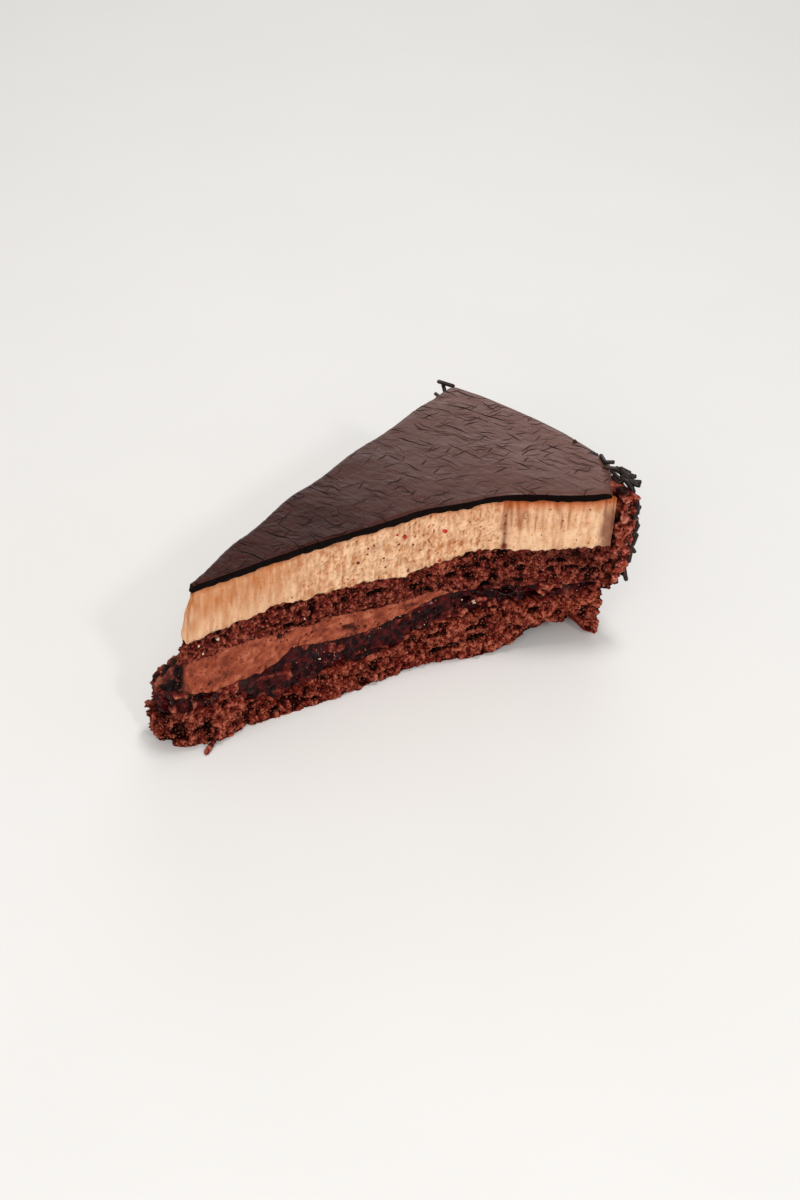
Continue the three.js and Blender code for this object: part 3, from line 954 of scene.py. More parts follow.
@dataclass(frozen=True)
class FruitFinish(Finish):
    """A torn bit of fruit or curd: soft, moist and uneven.

    Attributes:
        flesh: colour of most of it.
        dark: colour of its darker patches.
    """

    flesh: str = "#c8190f"
    dark: str = "#8a0d0a"

    def paint(self, tree: bpy.types.NodeTree, shader: Any) -> None:
        """Two tones of one colour with a moist gloss.

        Args:
            tree: the material's tree.
            shader: its Principled node.
        """
        colour = ramp(tree, self.grain(tree, 0.7, 2.0), [(0.35, self.dark), (0.65, self.flesh)])
        tree.links.new(colour, shader.inputs["Base Color"])
        rough = ramp(tree, self.grain(tree, 0.5), [(0.35, 0.2), (0.65, 0.5)])
        tree.links.new(rough, shader.inputs["Roughness"])


@dataclass(frozen=True)
class SprinkleFinish(Finish):
    """Chocolate sprinkles, extruded and polished: near-black rods with a grey sheen.

    Attributes:
        dark: colour of most of them.
        light: colour of the milkier ones.
    """

    dark: str = "#120806"
    light: str = "#2c1a14"

    def paint(self, tree: bpy.types.NodeTree, shader: Any) -> None:
        """Dark gloss that differs from rod to rod.

        Args:
            tree: the material's tree.
            shader: its Principled node.
        """
        colour = ramp(tree, self.field(tree, Field.TINT), [(0.3, self.dark), (1.0, self.light)])
        tree.links.new(colour, shader.inputs["Base Color"])
        rough = ramp(tree, self.grain(tree, 1.0), [(0.3, 0.25), (0.7, 0.45)])
        tree.links.new(rough, shader.inputs["Roughness"])
        self.bump(tree, shader, self.grain(tree, 0.5, 2.0), 0.03)


@dataclass(frozen=True)
class FloorFinish(Finish):
    """Plain pale studio board, painted: an even matt ground.

    Attributes:
        paint_colour: colour of the board.
    """

    paint_colour: str = "#dfddda"

    def paint(self, tree: bpy.types.NodeTree, shader: Any) -> None:
        """Even pale paint with a barely visible mottle.

        Args:
            tree: the material's tree.
            shader: its Principled node.
        """
        mottle = ramp(tree, self.grain(tree, 60.0), [(0.3, 0.985), (0.7, 1.0)])
        colour = blend_colour(tree, 1.0, linear(self.paint_colour), mottle, "MULTIPLY")
        tree.links.new(colour, shader.inputs["Base Color"])
        shader.inputs["Roughness"].default_value = 0.6


BOTTOM_CRUMB = CrumbFinish("chocolate_sponge_soaked_and_cut", gloss=0.08, crevice_shade="#160200", body="#722514",
                           crown="#b8654e", cherry="#5c1110", moist=0.35)
UPPER_CRUMB = CrumbFinish("chocolate_sponge_baked_and_cut", gloss=0.08, crevice_shade="#120200", body="#6d2517",
                          crown="#b0604c", cherry="#551214", moist=0.3)
COAT_CRUMB = CrumbFinish("chocolate_cream_coat_spread_and_torn", gloss=0.12, crevice_shade="#260804", body="#963c26",
                         crown="#d98f7c", cherry="#7c261c", moist=0.5)
WET_FILLING = FillingFinish("cherry_ganache_spooned_and_cut", ior=1.48, gloss=0.1)
SYRUP = SyrupFinish("cherry_syrup_beaded", ior=1.45, gloss=0.7)
RED_FRUIT = FruitFinish("cherry_skin_torn", gloss=0.5)
DRAGGED_BIT = FruitFinish("sponge_bit_dragged_by_knife", gloss=0.2, flesh="#8a3a26", dark="#4a160c")
# pale curd, also used for pale granules set as painted glints on the filling and the sponge
PALE_CURD_AND_GLINT = FruitFinish("cream_curd_torn", gloss=0.5, flesh="#e9d6bf", dark="#cfa987")
SET_MOUSSE = MousseFinish("chocolate_mousse_whipped_and_cut", gloss=0.2)
DRAWN_CREAM = CreamFinish("coffee_cream_mousse_drawn_by_knife", gloss=0.25)
SET_GLAZE = GlazeFinish("chocolate_glaze_poured_and_set", ior=1.5, gloss=0.1)
# a copy of the glaze whose near-black colours are painted shade on the cut edge
SHADED_CUT_GLAZE = GlazeFinish("chocolate_glaze_cut_with_a_wet_knife", ior=1.5, gloss=0.04, skin="#080201",
                        worn="#0d0302", depth=0.03, mottle_and_sheen=0.0)
ROD_CHOCOLATE = SprinkleFinish("chocolate_sprinkle_extruded_and_polished", ior=1.5, gloss=0.26)
BOARD = FloorFinish("studio_board_painted_matt", gloss=0.2)

# ---- layers ----


@dataclass(frozen=True)
class Patch:
    """A soft spot on the front cut where something differs.

    Attributes:
        x: distance from the tip.
        z: height.
        wide: reach along the slice.
        tall: reach in height.
        amount: strength at its middle.
    """

    x: float
    z: float
    wide: float
    tall: float
    amount: float = 1.0


def spots(p: Array, patches: tuple[Patch, ...]) -> Array:
    """Sum of soft spots on the front cut."""
    front = p[..., 1] < 0.35 * p[..., 0] - 1.0
    total = np.zeros(p.shape[:-1])
    for patch in patches:
        far = ((p[..., 0] - patch.x) / patch.wide) ** 2 + ((p[..., 2] - patch.z) / patch.tall) ** 2
        total += patch.amount * np.exp(-far * 1.5)
    return np.where(front, total, 0.0)


def at_nose(p: Array, seed: int) -> Array:
    """How far a place lies in the crumb that covers the blunt end of the slice, from 0 to 1."""
    return ease(-1.6, -3.6, p[..., 0] + 1.3 * noise(p, 2.4, seed + 90) - 0.16 * np.maximum(0.0, p[..., 1]))


NOSE_HOLLOWS = ((3.0, 10.5, 2.0, 3.2), (1.0, 19.8, 1.6, 1.9))


def nose_hollows(p: Array) -> Array:
    """Two hollows in the crumb of the blunt end, darkened with painted shade where the layers use them, from 0
    around them to 1 at their middles.
    """
    total = np.zeros(p.shape[:-1])
    for y, z, wide, tall in NOSE_HOLLOWS:
        total += np.exp(-1.5 * (((p[..., 1] - y) / wide) ** 2 + ((p[..., 2] - z) / tall) ** 2))
    return total * ease(-2.0, -4.0, p[..., 0])


LID_STEPS = (0.04, 0.14, 0.28, 0.45, 0.7, 1.0)


@dataclass
class Layer:
    """One layer of the slice between two joints, built as a closed band with two lids.

    Attributes:
        node: the CAD node that it stands for.
        finish: its material.
        low: joint under it.
        high: joint over it.
        stand: how far it stands out of the cut.
        rough: depth of its crags.
        seed: seed of its relief.
        step: spacing of its vertices on the front cut.
        share: how much of the length it reaches.
        thickest: its greatest height, which sets the number of rows.
        shaded: the crevices for the painted shade and highlight are found from the finished surface.
    """

    node: str
    finish: Finish
    low: Joint | None
    high: Joint | None
    stand: float
    rough: float
    seed: int
    step: float = 0.24
    share: float = 1.0
    thickest: float = 16.0
    shaded: bool = True

    def rim(self, v: Array) -> Array:
        """Radius at which the layer ends."""
        return np.full_like(np.asarray(v, float), BODY_RADIUS)

    def heights(self, u: Array, v: Array) -> tuple[Array, Array]:
        """Lowest and highest z of the layer over a place of the plan."""
        x, y = PLAN.point(u, v, np.full_like(u, MIDDLE_JOINT), self.rim)
        return self.low_at(x, y, v), self.high_at(x, y, v)

    def low_at(self, x: Array, y: Array, v: Array) -> Array:
        """Height of the underside."""
        if self.low is None:
            ragged = 1.0 + 0.16 * noise(np.stack([x, y, 0.0 * x], -1), 2.0, 91)
            return ragged * np.maximum(0.0, profile(ARCH, x)) * np.clip(2.0 - v * STEPS_ACROSS, 0.0, 1.0)
        return meeting(self.low, x, y, v)

    def high_at(self, x: Array, y: Array, v: Array) -> Array:
        """Height of the top."""
        if self.high is None:
            return np.full_like(x, HEIGHT - GLAZE_THICKNESS - LAYER_GAP / 2.0)
        return meeting(self.high, x, y, v)

    def relief(self, p: Array) -> tuple[Array, dict[str, Array]]:
        """Fine relief of the cut.

        Args:
            p: points of the plain layer.

        Returns:
            How far each point stands out, and the fields that the material reads.
        """
        raise NotImplementedError

    def hold(self, p: Array, fields: dict[str, Array]) -> Array:
        """How well loose granules hold at each point, from 0 to 1."""
        return np.ones(p.shape[:-1])

    def ring(self, u: Array, v: Array, w: Array | float) -> Array:
        """Points of the plain layer at a share w of its height."""
        low, high = self.heights(u, v)
        z = lerp(low, high, w)
        x, y = PLAN.point(u, v, z, self.rim)
        return np.stack([x, y, z], -1)

    def build(self) -> bpy.types.Object:
        """Builds the layer, dresses it and puts it in the place of its node."""
        step = self.step
        u, v = outline((step, 1.6, step * 1.5, step * 1.2), self.share)
        rows = max(6, round(self.thickest / step))
        w = np.linspace(0.0, 1.0, rows + 1)[:, None]
        grid = self.ring(np.broadcast_to(u, (rows + 1, len(u))), np.broadcast_to(v, (rows + 1, len(u))), w)
        side = normals_of(grid)
        crags = self.rough * (
            0.55 * cad_noise(grid[..., 0] / 5.5 + self.seed, grid[..., 1] / 5.5, grid[..., 2] / 4.0)
            + 0.45 * cad_noise(grid[..., 0] / 2.3, grid[..., 1] / 2.3 + self.seed, grid[..., 2] / 2.0))
        fine, fields = self.relief(grid)
        bare = (grid[..., 2] < RimCoat().foot(v) + 1.0) & (v < 0.2)
        pressed = np.where((u == self.share) & (self.share == 1.0) & ~bare, 0.3, 1.0)
        lip = np.clip(np.minimum(w, 1.0 - w) * rows / 1.5, 0.55, 1.0)
        out = (self.stand + crags + fine * lip) * pressed
        # relief of the finished surface, which the finishes paint as shade in the hollows and highlight on the
        # crowns
        fields["relief"] = hollows(out, round(1.1 / step)) if self.shaded else fields["relief"]
        skin = grid + side * out[..., None]
        skin[..., 2] = np.maximum(skin[..., 2], 0.0 if self.low is None else -9.0)
        offset = skin - grid
        lids = {"low": [], "high": []}
        inner = np.clip(np.round(u / self.share * 40.0) / 40.0, 0.1, 0.9) * self.share
        for which, level, edge in (("low", 0.0, offset[0]), ("high", 1.0, offset[-1])):
            for t in LID_STEPS:
                points = self.ring(lerp(u, inner, t), lerp(v, 0.5, t), level)
                points[..., 2] += np.clip(points[..., 2], 0.0, 1.0) * 0.5 * noise(points, 1.7, self.seed + 95)
                lids[which].append(points + edge * max(0.0, 1.0 - t / 0.2))
        stack = np.concatenate([np.array(lids["low"][::-1]), skin, np.array(lids["high"])])
        lid = len(LID_STEPS)
        spread = [np.concatenate([np.repeat(value[:1], lid, 0), value, np.repeat(value[-1:], lid, 0)])
                  for value in fields.values()]
        faces = band_faces(len(stack), len(u))
        named = dict(zip(fields, spread))
        cut = np.zeros(stack.shape[:2])
        hold = self.hold(grid, fields) * np.where((u == self.share) & (self.share == 1.0), 0.0, 1.0)
        cut[lid + 1:-lid - 1] = hold[1:-1]
        named["cut"] = cut
        obj = mesh_object(f"{self.node}_cut", stack.reshape(-1, 3), faces,
                          {key: value.reshape(-1) for key, value in named.items()})
        obj.data.materials.append(self.finish.material())
        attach(obj, "root")
        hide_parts(self.node)
        return obj


def meeting(joint: Joint, x: Array, y: Array, v: Array) -> Array:
    """Height of a joint, closing the space that the chocolate mousse leaves where it has thinned out."""
    own = joint.height(x, y, v)
    if joint not in (MOUSSE_LOW, MOUSSE_HIGH):
        return own
    shared = (MOUSSE_LOW.height(x, y, v) + MOUSSE_HIGH.height(x, y, v)) / 2.0
    return lerp(own, shared, ease(MOUSSE_END - 3.0, MOUSSE_END, x))


@dataclass
class SpongeLayer(Layer):
    """Baked sponge: packed granules with open pores between them.

    Attributes:
        soaked: spots darkened by syrup.
        voids: open holes that the cut has laid bare, darkened with painted shade.
    """

    soaked: tuple[Patch, ...] = ()
    voids: tuple[Patch, ...] = ()

    def relief(self, p: Array) -> tuple[Array, dict[str, Array]]:
        """Granules of two sizes on torn lumps, with pores; painted shade in the voids and painted bounce light near
        the floor.

        Args:
            p: points of the plain layer.

        Returns:
            How far each point stands out, and the fields relief, tint and stain.
        """
        out, owner = crumb_relief(p, self.seed, 1.0 + 0.5 * at_nose(p, self.seed))
        gap = ease(0.1, 0.45, noise(p, 2.4, self.seed + 12)) * at_nose(p, self.seed) + 1.6 * nose_hollows(p)
        out = out - 2.4 * np.clip(spots(p, self.voids), 0.0, 1.0) - 1.3 * gap
        broad = noise(p, 5.0, self.seed + 6)
        # painted bounce light from the floor: lighter crumb towards the bottom
        low = 0.25 * ease(6.0, 0.5, p[..., 2])
        # real syrup soak in the soaked spots, and painted shade in the voids and the hollows of the blunt end
        stain = np.clip(spots(p, self.soaked) + 1.1 * spots(p, self.voids) + 0.6 * gap, 0.0, 1.0)
        tint = np.clip(0.5 + 0.45 * broad + 0.7 * (owner - 0.5) + low, 0.0, 1.0)
        return out, {"tint": tint, "stain": stain}


@dataclass
class FillingLayer(Layer):
    """Wet cherry ganache with sponge broken into it, most of all towards the rim."""

    bits: tuple[Patch, ...] = ()
    voids: tuple[Patch, ...] = ()
    broken_from: float = 74.0

    def relief(self, p: Array) -> tuple[Array, dict[str, Array]]:
        """Glossy lumps, granules where sponge shows, and the dark syrup colour painted as shade in the voids.

        Args:
            p: points of the plain layer.

        Returns:
            How far each point stands out, and the fields relief and blend.
        """
        lump, owner = domes(p, 3.4, self.seed)
        knob, _ = domes(p, 1.7, self.seed + 1)
        crumb, _ = crumb_relief(p, self.seed + 60)
        mixed = ease(self.broken_from - 3.0, self.broken_from + 4.0, p[..., 0])
        wander = noise(p, (4.5, 4.5, 2.4), self.seed + 3)
        patchy = ease(-0.02, 0.32, wander + 0.25 * knob)
        dragged = 0.85 * ease(0.3, 0.55, noise(p, (2.6, 2.6, 1.8), self.seed + 9) + 0.3 * wander)
        bits = np.clip(spots(p, self.bits), 0.0, 1.0)
        gap = np.clip(spots(p, self.voids) + nose_hollows(p), 0.0, 1.0)
        nose = at_nose(p, self.seed)
        sponge = np.clip(mixed * patchy + 0.8 * nose * patchy + (1.0 - mixed) * dragged + bits, 0.0, 1.0)
        # the voids and the hollows of the blunt end take the dark syrup colour instead of sponge: painted shade in
        # the holes
        sponge = sponge * (1.0 - gap)
        hole = pits(p, 3.6, (0.1, 0.36), self.seed + 4)
        wet = 0.4 * lump + 0.16 * knob - 0.4 * hole - 0.2 - 2.0 * gap
        out = lerp(wet, 0.35 + crumb, sponge) + 0.8 * bits - (mixed + nose) * (1.0 - sponge) * 0.9
        return out, {"blend": sponge, "tint": owner}

    def hold(self, p: Array, fields: dict[str, Array]) -> Array:
        """Syrup beads on the wet parts, in clusters."""
        return (1.0 - fields["blend"]) * ease(-0.2, 0.5, noise(p, 4.0, self.seed + 8))


@dataclass
class MousseLayer(Layer):
    """Set chocolate mousse: smooth, with fine pores and short tears."""

    def relief(self, p: Array) -> tuple[Array, dict[str, Array]]:
        """Low swells, fine pores and tears, with painted highlight and shade in the relief field.

        Args:
            p: points of the plain layer.

        Returns:
            How far each point stands out, and the field relief.
        """
        swell = noise(p, (3.6, 3.6, 2.4), self.seed)
        mottle = noise(p, 1.0, self.seed + 7)
        crack = (1.0 - np.abs(noise(p, (2.4, 2.4, 3.2), self.seed + 10))) ** 16
        crack = 0.45 * crack * ease(0.1, 0.5, noise(p, 3.0, self.seed + 11))
        drag = noise(p, (2.6, 2.6, 0.8), self.seed + 1)
        pore = pits(p, 1.1, (0.05, 0.42), self.seed + 2)
        tear = pits(p, (2.6, 2.6, 1.5), (0.05, 0.4), self.seed + 3)
        rag = ease(0.35, 0.6, noise(p, 2.6, self.seed + 4))
        crumb, _ = crumb_relief(p, self.seed + 60)
        over = np.clip(at_nose(p, self.seed) + 0.8 * ease(0.5, 0.75, noise(p, (3.5, 3.5, 2.0), self.seed + 5)),
                       0.0, 1.0)
        plain = 0.2 * swell + 0.06 * drag + 0.08 * mottle - 0.4 * pore - 0.5 * tear * rag - 0.45 * crack
        # relief for the colour: painted highlight on the swells and painted shade in the pores, tears and cracks
        depth = 0.5 + 0.12 * swell + 0.05 * drag + 0.16 * mottle - 0.6 * pore - 0.5 * tear * rag - 0.7 * crack
        depth = np.clip(depth, 0.0, 1.0)
        gap = ease(-0.05, 0.35, noise(p, 2.4, self.seed + 12)) * at_nose(p, self.seed) + 1.2 * nose_hollows(p)
        out = lerp(plain, 0.4 + crumb, over) - 1.6 * gap
        # painted shade in the hollows of the blunt end
        local = np.clip(0.5 + 0.5 * crumb - 0.7 * gap, 0.0, 1.0)
        return out, {"relief": lerp(depth, local, over), "blend": over, "tint": depth}

    def hold(self, p: Array, fields: dict[str, Array]) -> Array:
        """Sponge crumb dragged over the mousse in patches."""
        return ease(-0.1, 0.6, noise(p, (4.0, 4.0, 2.0), self.seed + 8)) ** 2 + 0.12


@dataclass
class CreamLayer(Layer):
    """Coffee cream drawn down by the knife: smooth at the tip, torn in the middle, fluted at the rim."""

    flutes_from: float = 86.0
    flute: float = 3.7
    smears: tuple[Patch, ...] = ()

    def relief(self, p: Array) -> tuple[Array, dict[str, Array]]:
        """Upright drag marks, tears and flutes, the stains that go with them, and painted shade in the tears, pores
        and the corner by the coat.

        Args:
            p: points of the plain layer.

        Returns:
            How far each point stands out, and the fields relief, tint and stain.
        """
        x, z = p[..., 0], p[..., 2]
        torn = ease(16.0, 44.0, x)
        fluted = ease(self.flutes_from - 1.0, self.flutes_from + 3.0, x)
        middle = torn * (1.0 - 0.7 * fluted)
        drag = noise(p, (1.3, 1.3, 6.0), self.seed)
        stroke = noise(p, (0.55, 0.55, 2.6), self.seed + 10)
        fine = noise(p, (0.5, 0.5, 0.6), self.seed + 1)
        clod = noise(p, (2.2, 2.2, 1.7), self.seed + 9)
        broken = ease(-0.35, 0.25, noise(p, (4.0, 4.0, 5.0), self.seed + 6))
        tear = pits(p, (1.0, 1.0, 1.9), (0.04, 0.44), self.seed + 3) * broken
        pore = pits(p, (0.7, 0.7, 1.0), (0.04, 0.44), self.seed + 12)
        upright = p * np.array([1.0, 1.0, 0.05])
        line = (1.0 - np.abs(noise(upright, 1.5, self.seed + 4))) ** 5
        upper = ease(HEIGHT - 14.0, HEIGHT - 10.0, z + 3.0 * noise(p, (1.5, 1.5, 5.0), self.seed + 5))
        scratch = line * lerp(0.2, 1.0, fluted) * upper * lerp(0.35, 1.0, broken)
        broad = noise(p, (4.5, 4.5, 4.0), self.seed + 7)
        out = 0.06 * drag + middle * (0.1 * fine + 0.12 * stroke + 0.3 * clod - 0.7 * tear - 0.45 * pore)
        out = out - 0.5 * scratch + 0.12 * fluted * (broad + 0.5 * drag)
        # painted shade in the lower corner at the rim end, by the coat
        corner = ease(107.8, 111.2, x + 0.9 * noise(p, 1.6, self.seed + 13)) * ease(HEIGHT - 3.0, HEIGHT - 9.0, z)
        out = out - 0.3 * ease(HEIGHT - 4.6, HEIGHT - 2.4, z)
        band = lerp(2.4, 4.6, ease(70.0, 92.0, x)) + 0.9 * noise(p, (2.0, 2.0, 9.0), self.seed + 8)
        band = ease(0.0, 1.0, (z - (HEIGHT - GLAZE_THICKNESS - band)) / band)
        # real smears and seep, darker along the scratches, and painted shade in the corner and the tears
        stain = np.clip(spots(p, self.smears), 0.0, 1.0) + 0.22 * scratch + 0.8 * corner
        stain = stain + 0.35 * ease(0.8, 1.0, band) * lerp(0.3, 1.0, fluted) + 0.35 * tear * middle
        tint = 0.42 + 0.16 * torn + middle * (0.18 * stroke + 0.26 * fine + 0.14 * clod) + 0.12 * drag + 0.1 * broad
        # painted shade: tanner in the tears and pores
        tint = tint + 0.06 * fluted + 0.16 * (1.0 - middle) * stroke - torn * (0.55 * tear + 0.55 * pore)
        tint = tint + (1.0 - torn) * (0.3 * ease(44.0, 33.0, z) - 0.16)
        return out, {"tint": np.clip(tint, 0.0, 1.0), "stain": np.clip(stain, 0.0, 1.0),
                     "blend": np.clip(band * lerp(0.55, 1.0, fluted) + 0.55 * scratch, 0.0, 1.0)}


@dataclass
class GlazeSheet:
    """The glaze: a fine creased top, a cut edge all round and a rolled edge at the rim.

    Attributes:
        node: the CAD node that it stands for.
        along: vertices from tip to rim.
        across: vertices from cut to cut.
        nick: how much is missing at the front corner of the rim.
        roll: width and drop of the rolled edge.
    """

    node: str = "glaze"
    along: int = 300
    across: int = 130
    nick: float = 9.4
    roll: tuple[float, float] = (3.4, 1.5)
    seed: int = 67

    def rim(self, v: Array) -> Array:
        """Radius at which the glaze ends, less at the broken corner."""
        return GLAZE_RADIUS - self.nick * (1.0 - np.clip(np.asarray(v, float) * STEPS_ACROSS, 0.0, 1.0))

    def plain(self, u: Array, v: Array, w: Array | float) -> Array:
        """Points of the plain sheet at a share w of its thickness."""
        x, y = PLAN.point(u, v, np.full_like(u, HEIGHT - 1.0), self.rim)
        radius = np.hypot(x - CAKE_AXIS[0], y - CAKE_AXIS[1])
        hang = GLAZE_LIP * np.clip(v * STEPS_ACROSS - 1.0, 0.0, 1.0)
        low = HEIGHT - GLAZE_THICKNESS - hang * ease(COAT_RADIUS - 4.0, COAT_RADIUS, radius)
        outward = np.clip(1.0 - (self.rim(v) - radius) / self.roll[0], 0.0, 1.0)
        rounding = self.roll[1] * (1.0 - np.sqrt(1.0 - outward * outward))
        high = HEIGHT - rounding + 0.25 * cad_noise(x / 14.0, y / 14.0, np.full_like(x, 3.0))
        z = lerp(low, high, w)
        x, y = PLAN.point(u, v, z, self.rim)
        return np.stack([x, y, z], -1)

    def build(self) -> bpy.types.Object:
        """Builds the sheet, dresses it and puts it in the place of its node."""
        i, j = np.meshgrid(np.linspace(0, 1, self.along + 1), np.linspace(0, 1, self.across + 1), indexing="ij")
        top = self.plain(i, j, 1.0)
        width = np.linalg.norm(top[:, -1] - top[:, 0], axis=-1)[:, None]
        edge = np.minimum(np.minimum(j, 1.0 - j) * width, 9.0)
        bevel = 0.3 * (1.0 - ease(0.0, 0.7, edge))
        top[..., 2] += 0.06 * noise(top, (3.6, 3.6, 9.0), self.seed + 20) - bevel
        n, m = self.along, self.across
        order = [(a, 0) for a in range(n)] + [(n, b) for b in range(m)]
        order += [(a, m) for a in range(n, 0, -1)] + [(0, b) for b in range(m, 0, -1)]
        rows, columns = np.array(order).T
        u, v = rows / n, columns / m
        walls = []
        for w in np.linspace(0.86, 0.0, 7):
            ring = self.plain(u, v, w)
            drip = 0.4 * noise(ring, (1.9, 1.9, 9.0), self.seed + 32) + 0.1
            ring[..., 2] -= np.where(u == 1.0, 0.0, drip * (1.0 - w))
            walls.append(ring)
        walls = np.array(walls)
        side = normals_of(walls[::-1])[::-1]
        rough = 0.15 + 0.12 * noise(walls, 1.4, self.seed + 30) + 0.1 * noise(walls, 0.5, self.seed + 31)
        rolled = (u == 1.0) & (v >= 1.0 / STEPS_ACROSS)
        rough = np.where(rolled, 0.1, rough)
        walls = walls + side * rough[..., None] * np.linspace(0.6, 1.0, 7)[:, None, None]
        inner = np.clip(np.round(u * 40.0) / 40.0, 0.1, 0.9)
        lids = [self.plain(lerp(u, inner, t), lerp(v, 0.5, t), 0.0) for t in (0.05, 1.0)]
        border = (rows * (m + 1) + columns)
        below = np.concatenate([walls, np.array(lids)])
        points = np.concatenate([top.reshape(-1, 3), below.reshape(-1, 3)])
        start = top.shape[0] * top.shape[1]
        a, b = np.meshgrid(np.arange(n), np.arange(m), indexing="ij")
        first = a * (m + 1) + b
        faces = [np.stack([first, first + m + 1, first + m + 2, first + 1], -1).reshape(-1, 4)]
        count = len(u)
        after = (np.arange(count) + 1) % count
        faces.append(np.stack([border, start + np.arange(count), start + after, border[after]], -1))
        faces.append(band_faces(len(below), count, start)[:, ::-1])
        cut = np.where(rolled, 0.0, 1.0)
        # the cut walls take the copy of the glaze painted near-black as shade
        shade_top = np.zeros(start)
        stain = np.concatenate([shade_top] + [cut * min(1.0, 0.7 + 0.1 * k) for k in range(7)] + [cut, cut])
        obj = mesh_object("glaze_sheet", points, np.concatenate(faces), {"stain": stain})
        obj.data.materials.append(SET_GLAZE.material())
        obj.data.materials.append(SHADED_CUT_GLAZE.material())
        freshly = obj.data.attributes["stain"].data
        for face in obj.data.polygons:
            face.material_index = int(min(freshly[vertex].value for vertex in face.vertices) > 0.5)
        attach(obj, "root")
        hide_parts(self.node)
        return obj


# ---- the rim ----


def draw(seed: int) -> Callable[[], float]:
    """Seeded draw of the CAD source, so that the sprinkles lie where its sprinkles are.

    Args:
        seed: start of the draw.

    Returns:
        A function that gives the next number from 0 to 1.
    """
    state = [seed]

    def following() -> float:
        """Next number of the draw."""
        state[0] = (state[0] * 1664525 + 1013904223) & 0xFFFFFFFF
        return state[0] / 4294967296.0

    return following


@dataclass
class RimCoat:
    """The crumbly chocolate cream on the rim, heaped up at the corner that the glaze left bare.

    Attributes:
        node: the CAD node that it stands for.
        taper: how far the outside draws in towards the foot.
        bare_foot: height of the front corner from which the coat has come away.
        torn_taper: how far its torn edge tapers in there.
        step: spacing of its vertices.
    """

    node: str = "rim_coat"
    taper: float = 4.2
    bare_foot: float = 17.5
    torn_taper: float = 3.6
    step: float = 0.42
    inner: float = BODY_RADIUS + 0.4
    top: float = HEIGHT - GLAZE_THICKNESS - GLAZE_LIP - LAYER_GAP

    def radius(self, z: Array) -> Array:
        """Radius of the outside at a height."""
        return COAT_RADIUS - 0.5 - self.taper * (1.0 - ease(2.0, 26.0, z))

    def foot(self, v: Array) -> Array:
        """Height at which the coat starts, a share v of the way round."""
        return LAYER_GAP + self.bare_foot * (1.0 - ease(0.02, 0.17, v))

    def crest(self, v: Array, u: Array) -> Array:
        """Height at which it ends: under the glaze, or heaped up where the glaze is missing."""
        hang = GLAZE_LIP * np.clip(v * STEPS_ACROSS - 1.0, 0.0, 1.0)
        covered = self.top + GLAZE_LIP - hang * ease(0.0, 1.0, u)
        heap = HEIGHT - 0.6 - 1.2 * u * u
        bare = 1.0 - ease(0.1, 0.19, v)
        return lerp(covered, heap, bare)

    def plain(self, u: Array, v: Array, w: Array | float) -> Array:
        """Points of the plain coat, a share u of the way out and w of the way up."""
        z = lerp(self.foot(v), self.crest(v, u), w)
        torn = self.torn_taper * (1.0 - ease(0.0, 9.0, z - self.foot(v))) * (1.0 - ease(0.02, 0.2, v))
        x, y, _ = PLAN.rim_point(v, z, lerp(self.inner, self.radius(z) - torn, u))
        return np.stack([x, y, z], -1)

    def build(self) -> bpy.types.Object:
        """Builds the coat and dresses it."""
        around, thick = round(70.0 / self.step), round(5.5 / self.step)
        run, across = np.arange(around) / around, np.arange(thick) / thick
        u = np.concatenate([np.ones(around), 1.0 - across, np.zeros(around // 3), across])
        v = np.concatenate([run, np.ones(thick), 1.0 - np.arange(around // 3) / (around // 3), np.zeros(thick)])
        rows = round(46.0 / self.step)
        w = np.linspace(0.0, 1.0, rows + 1)[:, None]
        shape = (rows + 1, len(u))
        uu, vv = np.broadcast_to(u, shape), np.broadcast_to(v, shape)
        grid = self.plain(uu, vv, w)
        side = normals_of(grid)
        lump, owner = domes(grid, (3.2, 3.2, 2.6), 301)
        crumb, _ = crumb_relief(grid, 302, 0.55)
        out = 0.5 * lump + 0.75 * crumb + 0.35 * noise(grid, 5.0, 305)
        out = out * np.where((uu < 0.02) & (vv > 0.15), 0.1, 1.0) - 0.1
        skin = grid + side * out[..., None]
        skin[..., 2] = np.clip(skin[..., 2], LAYER_GAP, HEIGHT + 0.1)
        lids = []
        snap = np.clip(np.round(v * 60.0) / 60.0, 0.02, 0.98)
        for level, edge in ((0.0, skin[0] - grid[0]), (1.0, skin[-1] - grid[-1])):
            rings = []
            for t in (0.25, 0.6, 1.0):
                ring = self.plain(lerp(u, 0.5, t), lerp(v, snap, t), level)
                bumps = 0.5 * noise(ring, 1.6, 306) if level else 0.0
                ring[..., 2] += bumps
                rings.append(ring + edge * max(0.0, 1.0 - t / 0.4))
            lids.append(np.array(rings))
        stack = np.concatenate([lids[0][::-1], skin, lids[1]])
        # relief for painted shade in the hollows and painted highlight on the crowns
        depth = hollows(out, round(1.3 / self.step))
        broad = np.clip(0.5 + 0.5 * noise(grid, 6.0, 307) + 0.5 * (owner - 0.5), 0.0, 1.0)
        # painted shade on the coat's inner wall near the front corner
        shade = 0.2 * ease(0.1, 0.0, uu) * (vv < 0.3)
        fields = {"relief": depth, "tint": broad, "stain": shade}
        fields = {key: np.concatenate([np.repeat(value[:1], 3, 0), value, np.repeat(value[-1:], 3, 0)])
                  for key, value in fields.items()}
        cut = np.zeros(stack.shape[:2])
        cut[4:-4] = np.where(u > 0.05, 1.0, 0.0)
        fields["cut"] = cut
        obj = mesh_object("rim_coat_spread", stack.reshape(-1, 3), band_faces(len(stack), len(u)),
                          {key: value.reshape(-1) for key, value in fields.items()})
        obj.data.materials.append(COAT_CRUMB.material())
        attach(obj, "root")
        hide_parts(self.node)
        return obj


# ---- what is scattered: rods and granules ----


